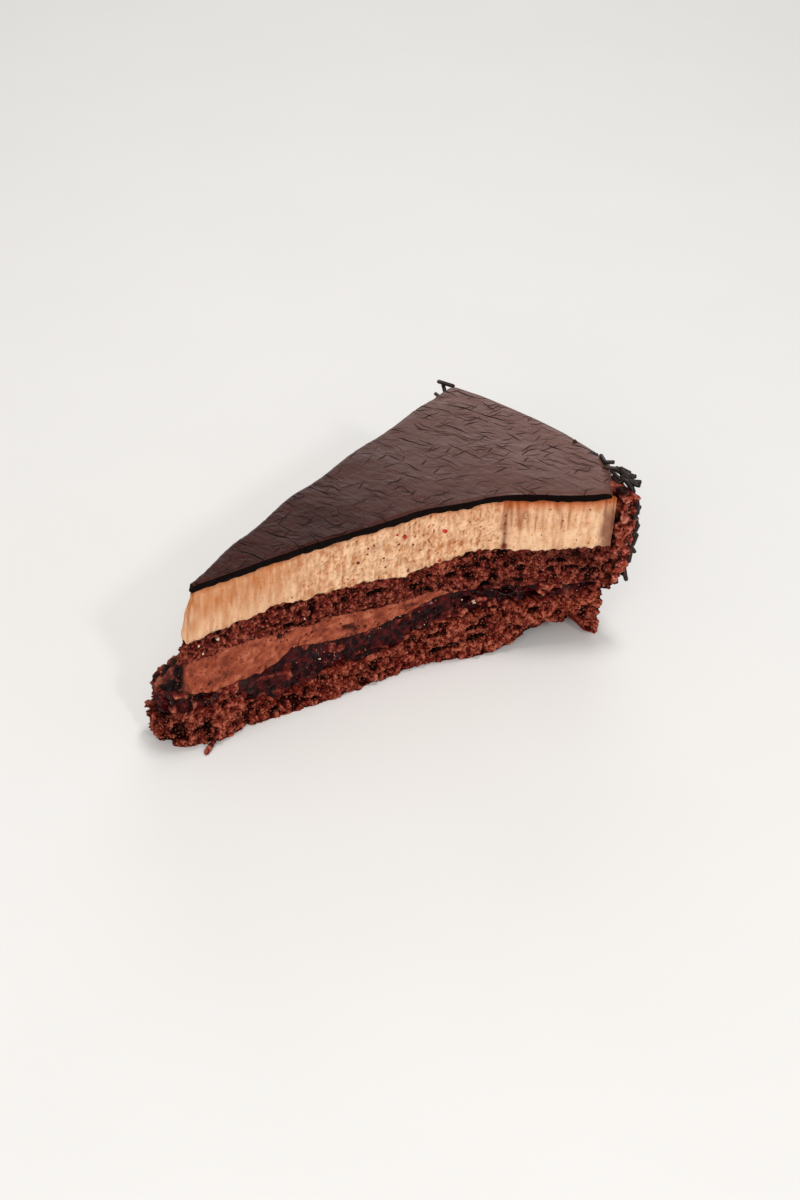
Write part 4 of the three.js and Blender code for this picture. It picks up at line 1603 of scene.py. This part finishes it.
def input_of(tree: bpy.types.NodeTree, name: str, kind: str, value: Any = None) -> str:
    """Adds a named input to a geometry tree and returns the identifier of its socket."""
    socket = tree.interface.new_socket(name, in_out="INPUT", socket_type=kind)
    if value is not None:
        socket.default_value = value
    return socket.identifier


def run_tree(host: bpy.types.Object, tree: bpy.types.NodeTree, values: dict[str, Any],
             name: str) -> bpy.types.Object:
    """Runs a geometry tree on an object and keeps the result as a plain mesh.

    Args:
        host: the object whose mesh the tree reads. It is left as it is.
        tree: the geometry tree.
        values: a value for each input, by the identifier of its socket.
        name: name of the new object.

    Returns:
        The new object, without modifiers.
    """
    work = bpy.data.objects.new(name, host.data.copy())
    bpy.context.scene.collection.objects.link(work)
    modifier = work.modifiers.new("scatter", "NODES")
    modifier.node_group = tree
    for key, value in values.items():
        modifier[key] = value
    bpy.context.view_layer.update()
    evaluated = work.evaluated_get(bpy.context.evaluated_depsgraph_get())
    mesh = bpy.data.meshes.new_from_object(evaluated)
    work.modifiers.clear()
    work.data = mesh
    mesh.name = name
    return work


def keep_off_floor(obj: bpy.types.Object) -> None:
    """Lifts every vertex that lies below the floor up to it."""
    places = np.empty(len(obj.data.vertices) * 3)
    obj.data.vertices.foreach_get("co", places)
    places[2::3] = np.maximum(places[2::3], 0.0)
    obj.data.vertices.foreach_set("co", places)
    obj.data.update()


@dataclass
class RodTree:
    """Geometry tree that puts a rod with bevelled ends on each point, along its direction."""

    name: str = "chocolate rods"
    sides: int = 6
    rings: int = 7

    def build(self, finish: Finish) -> tuple[bpy.types.NodeTree, dict[str, str]]:
        """Builds the tree.

        Args:
            finish: material of the rods.

        Returns:
            The tree, and the identifiers of its inputs by name.
        """
        tree = bpy.data.node_groups.new(self.name, "GeometryNodeTree")
        ids = {"Points": input_of(tree, "Points", "NodeSocketGeometry"),
               "Thickness": input_of(tree, "Thickness", "NodeSocketFloat", 0.00066)}
        tree.interface.new_socket("Rods", in_out="OUTPUT", socket_type="NodeSocketGeometry")
        source = add(tree, "NodeGroupInput")
        line = add(tree, "GeometryNodeCurvePrimitiveLine", {"Start": (0, 0, -0.5), "End": (0, 0, 0.5)})
        axis = add(tree, "GeometryNodeResampleCurve", {"Curve": line.outputs[0], "Count": self.rings})
        place = add(tree, "ShaderNodeSeparateXYZ", {0: add(tree, "GeometryNodeInputPosition").outputs[0]})
        angle = add(tree, "ShaderNodeMath", {0: place.outputs[2], 1: math.pi}, operation="MULTIPLY")
        sine = add(tree, "ShaderNodeMath", {0: angle.outputs[0]}, operation="SINE")
        half = add(tree, "ShaderNodeMath", {0: sine.outputs[0], 1: 0.5}, operation="MULTIPLY")
        spread = add(tree, "ShaderNodeCombineXYZ", {2: half.outputs[0]})
        moved = add(tree, "GeometryNodeSetPosition", {"Geometry": axis.outputs[0], "Position": spread.outputs[0]})
        share = add(tree, "GeometryNodeSplineParameter").outputs["Factor"]
        off = add(tree, "ShaderNodeMath", {0: share, 1: 0.5}, operation="SUBTRACT")
        size = add(tree, "ShaderNodeMath", {0: off.outputs[0]}, operation="ABSOLUTE")
        end = add(tree, "ShaderNodeMath", {0: size.outputs[0], 1: 0.46}, operation="GREATER_THAN")
        radius = add(tree, "ShaderNodeMath", {0: end.outputs[0], 1: -0.35, 2: 1.0}, operation="MULTIPLY_ADD")
        circle = add(tree, "GeometryNodeCurvePrimitiveCircle", {"Resolution": self.sides, "Radius": 1.0})
        rod = add(tree, "GeometryNodeCurveToMesh", {
            "Curve": moved.outputs[0], "Profile Curve": circle.outputs[0], "Scale": radius.outputs[0],
            "Fill Caps": True})
        along = add(tree, "GeometryNodeInputNamedAttribute", {"Name": "direction"}, data_type="FLOAT_VECTOR")
        length = add(tree, "GeometryNodeInputNamedAttribute", {"Name": "length"}, data_type="FLOAT")
        thick = add(tree, "GeometryNodeInputNamedAttribute", {"Name": "thick"}, data_type="FLOAT")
        girth = add(tree, "ShaderNodeMath", {0: thick.outputs[0], 1: source.outputs["Thickness"]},
                    operation="MULTIPLY")
        turn = add(tree, "FunctionNodeAlignRotationToVector", {"Vector": along.outputs[0]}, axis="Z")
        scale = add(tree, "ShaderNodeCombineXYZ", {0: girth.outputs[0], 1: girth.outputs[0],
                                                   2: length.outputs[0]})
        rods = add(tree, "GeometryNodeInstanceOnPoints", {
            "Points": source.outputs["Points"], "Instance": rod.outputs[0],
            "Rotation": turn.outputs[0], "Scale": scale.outputs[0]})
        real = add(tree, "GeometryNodeRealizeInstances", {"Geometry": rods.outputs[0]})
        smooth = add(tree, "GeometryNodeSetShadeSmooth", {"Geometry": real.outputs[0], "Shade Smooth": True})
        dressed = add(tree, "GeometryNodeSetMaterial", {"Geometry": smooth.outputs[0],
                                                        "Material": finish.material()})
        add(tree, "NodeGroupOutput", {0: dressed.outputs[0]})
        return tree, ids


@dataclass
class Sprinkles:
    """Chocolate sprinkles on the rim: the ones of the CAD, and finer ones among them.

    Attributes:
        length: length of a rod.
        radius: radius of a rod.
        grid: columns and rows of the CAD's sprinkles.
        extra: number of finer ones on the outside of the coat.
        heaped: number of the CAD's sprinkles on the bare corner.
    """

    coat: RimCoat
    length: float = 5.2
    radius: float = 0.66
    grid: tuple[int, int] = (16, 7)
    extra: int = 420
    heaped: int = 13

    def rods(self) -> list[tuple[Array, Array, float, float]]:
        """Places of all the rods.

        Returns:
            For each rod its middle, its direction, its length and its thickness against radius.
        """
        return self.side_rods() + self.corner_rods() + self.finer_rods() + self.placed_rods()

    def side_rods(self) -> list[tuple[Array, Array, float, float]]:
        """Rods of the CAD on the outside of the coat."""
        random = draw(7)
        rods = []
        for i in range(self.grid[0]):
            for k in range(self.grid[1]):
                v = (i + 0.15 + 0.7 * random()) / self.grid[0]
                foot = float(self.coat.foot(np.array(v)))
                z = lerp(foot + 1.2, self.coat.top - 1.0, (k + 0.1 + 0.8 * random()) / self.grid[1])
                radius = float(self.coat.radius(np.array(z))) + 0.25 + 0.35 * random()
                x, y, angle = (float(value) for value in PLAN.rim_point(np.array(v), np.array(z), radius))
                lean = (random() - 0.5) * math.pi * min(1.0, max(0.0, min(v, 1.0 - v) / 0.06))
                along = np.array([-math.sin(angle) * math.sin(lean), math.cos(angle) * math.sin(lean),
                                  math.cos(lean)])
                along[0] += 0.25 * (random() - 0.5)
                room = min(z - foot, self.coat.top - z) / max(0.2, abs(along[2]))
                length = max(2.2, min(self.length * (0.75 + 0.5 * random()), 2.0 * room))
                rods.append((np.array([x, y, z]), along, length, 1.0))
        return rods

    def corner_rods(self) -> list[tuple[Array, Array, float, float]]:
        """Rods of the CAD on the bare front corner, and three past the back cut."""
        random = draw(91)
        rods = []
        rim = GlazeSheet().rim
        for n in range(self.heaped):
            v = lerp(0.04, 0.13, (n + random()) / self.heaped)
            inner = max(float(rim(v)), BODY_RADIUS) + 3.0
            z = HEIGHT - 0.2 + 0.9 * random()
            radius = lerp(inner, COAT_RADIUS + 0.2, random())
            x, y, _ = (float(value) for value in PLAN.rim_point(np.array(v), np.array(z), radius))
            turn = -math.pi / 2.0 + 1.1 * (random() - 0.35)
            along = np.array([math.cos(turn), math.sin(turn), 0.35 * (random() - 0.3)])
            rods.append((np.array([x, y, z]), along, 3.6 + 1.2 * random(), 1.0))
        strays = ((44.2, 2.0, (-0.75, 0.65, 0.1), 1.4), (41.8, 2.6, (-0.5, 1.0, 0.7), 0.8),
                  (39.4, 3.4, (-0.2, 1.0, 0.3), 0.6))
        for z, inward, along, out in strays:
            x, y, _ = (float(value) for value in
                       PLAN.rim_point(np.array(1.0), np.array(z), COAT_RADIUS - inward))
            rods.append((np.array([x, y + out, z]), np.array(along), self.length, 1.0))
        return rods

    def finer_rods(self) -> list[tuple[Array, Array, float, float]]:
        """Finer rods pressed into the outside of the coat between the others."""
        rng = np.random.default_rng(41)
        rods = []
        for _ in range(self.extra):
            v = rng.uniform(0.01, 0.995)
            foot = float(self.coat.foot(np.array(v)))
            z = rng.uniform(foot + 1.5, self.coat.top - 0.8)
            radius = float(self.coat.radius(np.array(z))) + rng.uniform(0.05, 0.45)
            x, y, angle = (float(value) for value in PLAN.rim_point(np.array(v), np.array(z), radius))
            lean = rng.uniform(-0.5, 0.5) * math.pi * min(1.0, min(v, 1.0 - v) / 0.05)
            along = np.array([-math.sin(angle) * math.sin(lean), math.cos(angle) * math.sin(lean),
                              math.cos(lean)])
            length = min(rng.uniform(2.6, 5.0), 1.9 * min(z - foot, self.coat.top - z) / max(0.2, abs(along[2])))
            rods.append((np.array([x, y, z]), along, max(length, 2.0), rng.uniform(0.7, 0.95)))
        return rods

    def placed_rods(self) -> list[tuple[Array, Array, float, float]]:
        """Rods on the edge of the glaze, heaped on its broken corner, down the cut edge of the coat and
        at the back corner."""
        rng = np.random.default_rng(17)
        single = [((121.2, -9.6, 48.1), (0.5, -0.25, -0.8), 3.2), ((120.9, -14.6, 48.3), (0.15, -1.0, 0.05), 3.6),
                  ((120.2, -16.4, 48.6), (0.5, -0.8, 0.1), 3.0), ((119.8, -20.6, 49.4), (-0.5, -0.85, 0.05), 4.8),
                  ((120.2, -22.4, 49.2), (0.7, -0.7, 0.1), 3.0), ((113.6, 35.1, 48.8), (0.74, -0.6, -0.3), 5.3),
                  ((113.1, 35.2, 47.4), (-0.4, -0.8, -0.4), 3.4), ((110.7, 35.1, 46.0), (-0.2, -0.9, 0.1), 3.0),
                  ((117.7, -27.3, 48.6), (-0.29, -0.96, 0.0), 5.0), ((119.0, -27.2, 49.1), (-0.06, -1.0, 0.0), 4.6),
                  ((120.6, -26.6, 48.7), (0.05, -1.0, 0.05), 4.0), ((121.2, -29.0, 47.4), (0.0, -0.95, -0.25), 4.0),
                  ((116.8, -28.4, 47.9), (-0.35, -0.93, 0.0), 4.4), ((119.4, -29.6, 48.2), (0.3, -0.9, -0.2), 3.6),
                  ((121.4, -30.2, 45.4), (0.05, -0.5, -0.85), 4.4), ((118.4, -24.6, 49.2), (0.55, -0.8, 0.05), 4.0)]
        rods = [(np.array(place), np.array(along), length, 0.88) for place, along, length in single]
        for n in range(16):
            z = lerp(24.0, 45.0, (n + rng.uniform()) / 16.0)
            radius = float(self.coat.radius(np.array(z))) + rng.uniform(0.0, 0.5)
            x, y, _ = (float(value) for value in
                       PLAN.rim_point(np.array(rng.uniform(0.0, 0.03)), np.array(z), radius))
            rods.append((np.array([x, y - 0.2, z]), np.array([rng.normal(0.0, 0.25), rng.normal(0.0, 0.15), 1.0]),
                         rng.uniform(3.4, 5.0), 0.9))
        return rods

    def build(self) -> bpy.types.Object:
        """Builds all the rods as one piece."""
        rods = self.rods()
        mesh = bpy.data.meshes.new("sprinkle points")
        mesh.from_pydata([to_frame(place).tolist() for place, *_ in rods], [], [])
        direction = mesh.attributes.new("direction", "FLOAT_VECTOR", "POINT")
        direction.data.foreach_set("vector", np.array([along for _, along, *_ in rods], np.float32).ravel())
        rng = np.random.default_rng(5)
        for key, values in (("length", [size * MM for *_, size, _ in rods]),
                            ("thick", [thick for *_, thick in rods]),
                            ("tint", rng.uniform(0.0, 1.0, len(rods)))):
            attribute = mesh.attributes.new(key, "FLOAT", "POINT")
            attribute.data.foreach_set("value", np.array(values, np.float32))
        host = bpy.data.objects.new("sprinkle points", mesh)
        tree, ids = RodTree().build(ROD_CHOCOLATE)
        obj = run_tree(host, tree, {ids["Thickness"]: self.radius * MM}, "chocolate_sprinkles")
        bpy.data.objects.remove(host)
        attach(obj, "root")
        return obj


@dataclass
class GranuleTree:
    """Geometry tree for small lumpy granules, scattered over a cut face or set on given points.

    Attributes:
        name: name of the tree.
        scattered: scatter over faces by their attribute cut, or else set on the points by their
            attribute size.
        rounds: subdivisions of the ball that a granule starts as.
    """

    name: str
    scattered: bool = True
    rounds: int = 1

    def build(self, finish: Finish) -> tuple[bpy.types.NodeTree, dict[str, str]]:
        """Builds the tree.

        Args:
            finish: material of the granules.

        Returns:
            The tree, and the identifiers of its inputs by name.
        """
        tree = bpy.data.node_groups.new(self.name, "GeometryNodeTree")
        ids = {"Surface": input_of(tree, "Surface", "NodeSocketGeometry"),
               "Density": input_of(tree, "Density", "NodeSocketFloat", 100000.0),
               "Least": input_of(tree, "Least", "NodeSocketFloat", 0.0003),
               "Most": input_of(tree, "Most", "NodeSocketFloat", 0.0006),
               "Seed": input_of(tree, "Seed", "NodeSocketInt", 1)}
        tree.interface.new_socket("Granules", in_out="OUTPUT", socket_type="NodeSocketGeometry")
        source = add(tree, "NodeGroupInput")
        if self.scattered:
            cut = add(tree, "GeometryNodeInputNamedAttribute", {"Name": "cut"}, data_type="FLOAT")
            density = add(tree, "ShaderNodeMath", {0: cut.outputs[0], 1: source.outputs["Density"]},
                          operation="MULTIPLY")
            points = add(tree, "GeometryNodeDistributePointsOnFaces", {
                "Mesh": source.outputs["Surface"], "Density": density.outputs[0],
                "Seed": source.outputs["Seed"]}, distribute_method="RANDOM").outputs["Points"]
            size = add(tree, "FunctionNodeRandomValue", {
                2: source.outputs["Least"], 3: source.outputs["Most"],
                "Seed": source.outputs["Seed"]}, data_type="FLOAT").outputs[1]
        else:
            points = source.outputs["Surface"]
            size = add(tree, "GeometryNodeInputNamedAttribute", {"Name": "size"}, data_type="FLOAT").outputs[0]
        ball = add(tree, "GeometryNodeMeshIcoSphere", {"Radius": 1.0, "Subdivisions": self.rounds})
        uneven = add(tree, "FunctionNodeRandomValue", {0: (0.65, 0.65, 0.65), 1: (1.25, 1.25, 1.25)},
                     data_type="FLOAT_VECTOR")
        scale = add(tree, "ShaderNodeVectorMath", {0: uneven.outputs[0], "Scale": size}, operation="SCALE")
        turn = add(tree, "FunctionNodeRandomValue", {0: (0.0, 0.0, 0.0), 1: (6.28, 6.28, 6.28)},
                   data_type="FLOAT_VECTOR")
        tint = add(tree, "FunctionNodeRandomValue", {2: 0.0, 3: 1.0}, data_type="FLOAT")
        granules = add(tree, "GeometryNodeInstanceOnPoints", {
            "Points": points, "Instance": ball.outputs[0], "Rotation": turn.outputs[0],
            "Scale": scale.outputs[0]})
        kept = add(tree, "GeometryNodeStoreNamedAttribute", {
            "Geometry": granules.outputs[0], "Name": "tint", "Value": tint.outputs[1]},
            data_type="FLOAT", domain="INSTANCE")
        depth = add(tree, "FunctionNodeRandomValue", {2: 0.3, 3: 0.95, "Seed": 5}, data_type="FLOAT")
        lifted = add(tree, "GeometryNodeStoreNamedAttribute", {
            "Geometry": kept.outputs[0], "Name": "relief", "Value": depth.outputs[1]},
            data_type="FLOAT", domain="INSTANCE")
        real = add(tree, "GeometryNodeRealizeInstances", {"Geometry": lifted.outputs[0]})
        smooth = add(tree, "GeometryNodeSetShadeSmooth", {"Geometry": real.outputs[0],
                                                          "Shade Smooth": self.rounds > 1})
        dressed = add(tree, "GeometryNodeSetMaterial", {"Geometry": smooth.outputs[0],
                                                        "Material": finish.material()})
        add(tree, "NodeGroupOutput", {0: dressed.outputs[0]})
        return tree, ids


@dataclass
class Granules:
    """Loose crumb or drops clinging to a cut layer.

    Attributes:
        name: name of the piece.
        host: the layer that it clings to.
        finish: material of the granules.
        density: granules on a square centimetre.
        sizes: least and greatest radius.
        seed: seed of their places.
        slot: material slot of the record; not used.
        rounds: subdivisions of the ball that a granule starts as.
    """

    name: str
    host: bpy.types.Object
    finish: Finish
    density: float
    sizes: tuple[float, float]
    seed: int
    slot: str
    rounds: int = 1

    def build(self) -> bpy.types.Object:
        """Scatters the granules and makes them one piece."""
        tree, ids = GranuleTree(f"granules for {self.name}", rounds=self.rounds).build(self.finish)
        values = {ids["Density"]: self.density * 1e4, ids["Least"]: self.sizes[0] * MM,
                  ids["Most"]: self.sizes[1] * MM, ids["Seed"]: self.seed}
        obj = run_tree(self.host, tree, values, self.name)
        keep_off_floor(obj)
        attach(obj, "root")
        return obj


@dataclass
class Bits:
    """Bits set on the front cut at given places, each a small heap of granules.

    Attributes:
        name: name of the piece.
        host: the layer that they sit on.
        finish: their material.
        places: distance from the tip, height and radius of each bit.
        slot: material slot of the record; not used.
        heap: granules in a bit.
        free: points that stand on no layer, with their radius.
    """

    name: str
    host: bpy.types.Object
    finish: Finish
    places: tuple[tuple[float, float, float], ...]
    slot: str
    heap: int = 3
    free: tuple[tuple[float, float, float, float], ...] = ()

    def build(self) -> bpy.types.Object:
        """Finds the surface at each place and heaps the granules on it."""
        mesh = self.host.data
        spots_at = np.empty(len(mesh.vertices) * 3)
        mesh.vertices.foreach_get("co", spots_at)
        skin = spots_at.reshape(-1, 3) / MM + np.array([MIDDLE[0], MIDDLE[1], 0.0])
        skin = skin[skin[:, 1] < 0.3 * skin[:, 0] - 1.0]
        rng = np.random.default_rng(len(self.places) + 7)
        points, sizes = [], []
        for x, z, radius in self.places:
            far = (skin[:, 0] - x) ** 2 + (skin[:, 2] - z) ** 2
            candidates = np.argsort(far)[:6]
            base = skin[candidates[np.argmin(skin[candidates, 1])]]
            for n in range(self.heap):
                points.append(base + rng.normal(0.0, 0.45 * radius, 3) * (n > 0))
                sizes.append(radius * (1.0 if n == 0 else rng.uniform(0.4, 0.8)))
        for x, y, z, radius in self.free:
            points.append(np.array([x, y, z]))
            sizes.append(radius)
        data = bpy.data.meshes.new(self.name)
        data.from_pydata([to_frame(point).tolist() for point in points], [], [])
        attribute = data.attributes.new("size", "FLOAT", "POINT")
        attribute.data.foreach_set("value", np.array(sizes, np.float32) * MM)
        host = bpy.data.objects.new(self.name, data)
        tree, _ = GranuleTree(f"bits for {self.name}", scattered=False, rounds=2).build(self.finish)
        obj = run_tree(host, tree, {}, self.name)
        keep_off_floor(obj)
        bpy.data.objects.remove(host)
        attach(obj, "root")
        return obj


# ---- the stage ----


@dataclass
class Studio:
    """Floor, soft lights and camera.

    Attributes:
        eye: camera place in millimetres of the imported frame.
        look: direction that the camera looks in.
        right: level direction to its right.
        roll: how far it is rolled, in degrees.
        lens: focal length on a 36 mm sensor.
    """

    eye: tuple[float, float, float] = (-236.8, -262.1, 283.3)
    look: tuple[float, float, float] = (0.5493, 0.5829, -0.5988)
    right: tuple[float, float, float] = (0.7278, -0.6858, 0.0)
    roll: float = 3.70
    lens: float = 50.0
    floor_size: float = 6.0

    def build(self) -> None:
        """Builds the whole stage."""
        self.floor()
        self.camera()
        self.world()
        self.light("key light", (0.15, 0.0, 0.95), (0.2, 0.2), 3.6)
        self.light("window light", (0.84, 0.93, 0.56), (0.9, 0.36), 2.9)
        self.light("fill light", (-0.75, -0.55, 0.55), (0.7, 0.7), 5.0)
        self.light("sparkle light", (-0.15, -0.8, 0.7), (0.09, 0.09), 1.9)
        bpy.context.scene.view_settings.view_transform = "Standard"
        bpy.context.scene.view_settings.look = "None"

    def floor(self) -> None:
        """Lays a plain pale board under the slice."""
        mesh = bpy.data.meshes.new("floor")
        half = self.floor_size / 2.0
        mesh.from_pydata([(-half, -half, 0), (half, -half, 0), (half, half, 0), (-half, half, 0)], [],
                         [(0, 1, 2, 3)])
        floor = bpy.data.objects.new("floor", mesh)
        bpy.context.scene.collection.objects.link(floor)
        mesh.materials.append(BOARD.material())

    def camera(self) -> None:
        """Sets the camera at the angle of the photograph."""
        data = bpy.data.cameras.new("camera")
        data.lens = self.lens
        data.sensor_width = 36.0
        data.clip_start = 0.01
        data.dof.use_dof = False
        forward = Vector(self.look).normalized()
        level = Vector(self.right).normalized()
        upward = level.cross(forward).normalized()
        turn = math.radians(self.roll)
        right = level * math.cos(turn) + upward * math.sin(turn)
        up = right.cross(forward).normalized()
        matrix = Matrix((right, up, -forward)).transposed().to_4x4()
        matrix.translation = Vector(self.eye) * MM
        camera = bpy.data.objects.new("camera", data)
        camera.matrix_world = matrix
        bpy.context.scene.collection.objects.link(camera)
        bpy.context.scene.camera = camera

    def world(self) -> None:
        """Surrounds the slice with even pale light."""
        world = bpy.data.worlds.new("studio")
        world.use_nodes = True
        world.node_tree.nodes.clear()
        glow = add(world.node_tree, "ShaderNodeBackground", {"Color": (1.0, 0.99, 0.98, 1.0), "Strength": 0.5})
        output = add(world.node_tree, "ShaderNodeOutputWorld")
        world.node_tree.links.new(glow.outputs[0], output.inputs["Surface"])
        bpy.context.scene.world = world

    def light(self, name: str, place: tuple[float, float, float], size: tuple[float, float],
              power: float) -> None:
        """Hangs one soft light that faces the slice.

        Args:
            name: name of the light.
            place: where it hangs, in metres.
            size: width and height of its panel, in metres.
            power: power in watts.
        """
        data = bpy.data.lights.new(name, "AREA")
        data.shape = "RECTANGLE"
        data.size, data.size_y = size
        data.energy = power
        lamp = bpy.data.objects.new(name, data)
        lamp.location = place
        aim = Vector((0.0, 0.0, 0.02)) - Vector(place)
        lamp.rotation_euler = aim.to_track_quat("-Z", "Y").to_euler()
        bpy.context.scene.collection.objects.link(lamp)


def main() -> None:
    """Builds the slice piece by piece and reports each one."""
    logging.basicConfig(level=logging.INFO, format="%(message)s")
    layers = [
        SpongeLayer("bottom_sponge", BOTTOM_CRUMB, None, FILLING_LOW, 0.2, 1.5, 11, thickest=15.0,
                    voids=(Patch(2.0, 5.1, 1.3, 2.2), Patch(69.5, 3.8, 2.6, 1.2), Patch(79.6, 6.2, 2.8, 1.2), Patch(21.6, 2.2, 1.5, 0.8),
                           Patch(32.9, 2.0, 1.2, 0.8), Patch(95.7, 11.8, 1.6, 1.2), Patch(15.5, 6.5, 1.2, 0.7))),
        FillingLayer("cherry_filling", WET_FILLING, FILLING_LOW, MOUSSE_LOW, -0.5, 0.7, 23, thickest=10.0,
                     bits=(Patch(9.0, 15.0, 3.2, 2.4, 1.5), Patch(-1.9, 13.2, 2.6, 1.5, 1.2), Patch(86.3, 20.4, 2.2, 1.2),
                           Patch(98.3, 19.2, 2.6, 1.3), Patch(104.0, 16.0, 3.0, 2.0)),
                     voids=(Patch(2.6, 14.6, 3.2, 1.1), Patch(88.9, 18.0, 1.8, 1.2), Patch(95.4, 15.2, 1.6, 1.3),
                            Patch(83.0, 20.0, 1.4, 0.9), Patch(90.4, 14.8, 1.3, 0.9), Patch(100.8, 17.2, 1.2, 1.2),
                            Patch(78.4, 17.6, 1.6, 0.8))),
        MousseLayer("chocolate_mousse", SET_MOUSSE, MOUSSE_LOW, MOUSSE_HIGH, -0.3, 0.35, 37,
                    share=0.675, thickest=8.0, shaded=False),
        SpongeLayer("upper_sponge", UPPER_CRUMB, MOUSSE_HIGH, CREAM_LOW, 0.0, 1.1, 41, thickest=11.0,
                    soaked=(Patch(103.0, 29.5, 9.0, 2.2, 0.7), Patch(86.0, 21.6, 6.0, 1.0, 0.5)),
                    voids=(Patch(50.4, 27.4, 1.6, 1.0), Patch(30.2, 29.2, 1.0, 0.9), Patch(27.1, 26.3, 1.6, 0.8),
                           Patch(43.5, 28.0, 1.1, 0.8), Patch(74.2, 26.5, 1.4, 0.9), Patch(79.2, 24.5, 1.2, 0.9),
                           Patch(83.4, 21.4, 1.6, 0.9), Patch(100.7, 27.8, 1.0, 0.8), Patch(107.0, 24.0, 1.2, 1.4))),
        CreamLayer("cream_mousse", DRAWN_CREAM, CREAM_LOW, None, -0.3, 0.2, 53, thickest=16.0,
                   smears=(Patch(88.1, 36.0, 0.8, 8.0, 0.75), Patch(88.2, 32.2, 1.2, 1.2, 0.8),
                           Patch(62.3, 31.0, 0.8, 0.6, 0.8), Patch(52.0, 41.5, 2.5, 1.2, 0.35))),
    ]
    built: dict[str, bpy.types.Object] = {}
    for layer in layers:
        built[layer.node] = layer.build()
        LOG.info("%s: %d faces", layer.node, len(built[layer.node].data.polygons))
    glaze = GlazeSheet().build()
    LOG.info("glaze: %d faces", len(glaze.data.polygons))
    coat = RimCoat()
    built["rim_coat"] = coat.build()
    LOG.info("rim_coat: %d faces", len(built["rim_coat"].data.polygons))
    rods = Sprinkles(coat).build()
    LOG.info("sprinkles: %d faces", len(rods.data.polygons))
    stalk = tuple((lerp(3.9, -0.5, t), lerp(-4.0, -6.0, t), lerp(1.8, 0.7, t), 0.55 + 0.35 * t * t)
                  for t in (0.0, 0.15, 0.3, 0.45, 0.6, 0.8, 1.0))
    scattered = [
        Granules("bottom_crumbs", built["bottom_sponge"], BOTTOM_CRUMB, 170.0, (0.13, 0.34), 3, "bottom_sponge"),
        Granules("upper_crumbs", built["upper_sponge"], UPPER_CRUMB, 170.0, (0.13, 0.32), 4, "upper_sponge"),
        Granules("mousse_crumbs", built["chocolate_mousse"], UPPER_CRUMB, 60.0, (0.12, 0.3), 5, "upper_sponge"),
        Granules("filling_crumbs", built["cherry_filling"], UPPER_CRUMB, 40.0, (0.13, 0.34), 9, "upper_sponge"),
        # pale flecks that stand in for glints on the wet filling: painted highlights
        Granules("curd_flecks", built["cherry_filling"], PALE_CURD_AND_GLINT, 7.0, (0.08, 0.16), 12, "cream_mousse"),
        Granules("coat_crumbs", built["rim_coat"], COAT_CRUMB, 45.0, (0.2, 0.45), 6, "rim_coat"),
        Granules("syrup_beads", built["cherry_filling"], SYRUP, 32.0, (0.1, 0.3), 8, "cherry_filling", rounds=2),
        Bits("red_specks", built["cream_mousse"], RED_FRUIT,
             ((61.0, 41.6, 0.8), (71.7, 40.6, 0.6), (71.1, 31.4, 0.42), (45.6, 33.4, 0.26), (58.6, 43.2, 0.3)), "cherry_filling"),
        Bits("brown_specks", built["cream_mousse"], DRAGGED_BIT,
             ((68.8, 41.2, 0.25), (63.1, 38.4, 0.3), (65.7, 36.0, 0.3), (88.0, 42.0, 0.3), (88.2, 39.1, 0.28),
              (88.0, 36.6, 0.3), (88.3, 32.9, 0.45), (62.3, 30.8, 0.4), (50.9, 42.6, 0.35), (49.5, 41.8, 0.3),
              (27.9, 34.5, 0.22), (97.1, 44.0, 0.22), (95.8, 35.9, 0.2), (105.8, 43.6, 0.25), (103.4, 34.3, 0.2),
              (81.5, 39.6, 0.2), (54.9, 34.4, 0.25), (36.5, 42.1, 0.2), (19.1, 40.5, 0.15),
              (47.0, 38.3, 0.4), (49.4, 40.3, 0.3), (54.3, 37.2, 0.3), (44.2, 34.2, 0.25), (58.8, 39.9, 0.3),
              (75.0, 36.4, 0.2), (78.2, 41.9, 0.22), (84.3, 34.6, 0.2), (92.4, 41.0, 0.22), (100.2, 40.2, 0.25),
              (68.0, 37.9, 0.22), (33.0, 36.0, 0.18)), "upper_sponge"),
        # pale bits that stand in for glints on the upper sponge: painted highlights
        Bits("pale_specks", built["upper_sponge"], PALE_CURD_AND_GLINT,
             ((31.3, 26.7, 0.3), (6.6, 30.1, 0.4), (1.1, 30.3, 0.35), (2.1, 27.9, 0.28)), "cream_mousse", heap=2),
        # pale curd bits on the filling, some of them standing in for glints as painted highlights
        Bits("curd_bits", built["cherry_filling"], PALE_CURD_AND_GLINT,
             ((80.2, 16.5, 0.4), (81.0, 16.0, 0.3), (78.0, 17.2, 0.22), (57.5, 17.4, 0.26), (35.3, 12.7, 0.2),
              (59.8, 17.4, 0.16)), "cream_mousse", heap=7),
        Bits("crumb_stalk", built["bottom_sponge"], BOTTOM_CRUMB,
             ((110.6, 4.1, 0.7), (66.7, 0.8, 0.5), (41.9, 1.2, 0.5)), "bottom_sponge", free=stalk),
    ]
    for item in scattered:
        piece = item.build()
        LOG.info("%s: %d faces", item.name, len(piece.data.polygons))
    Studio().build()


if __name__ == "__main__":
    main()
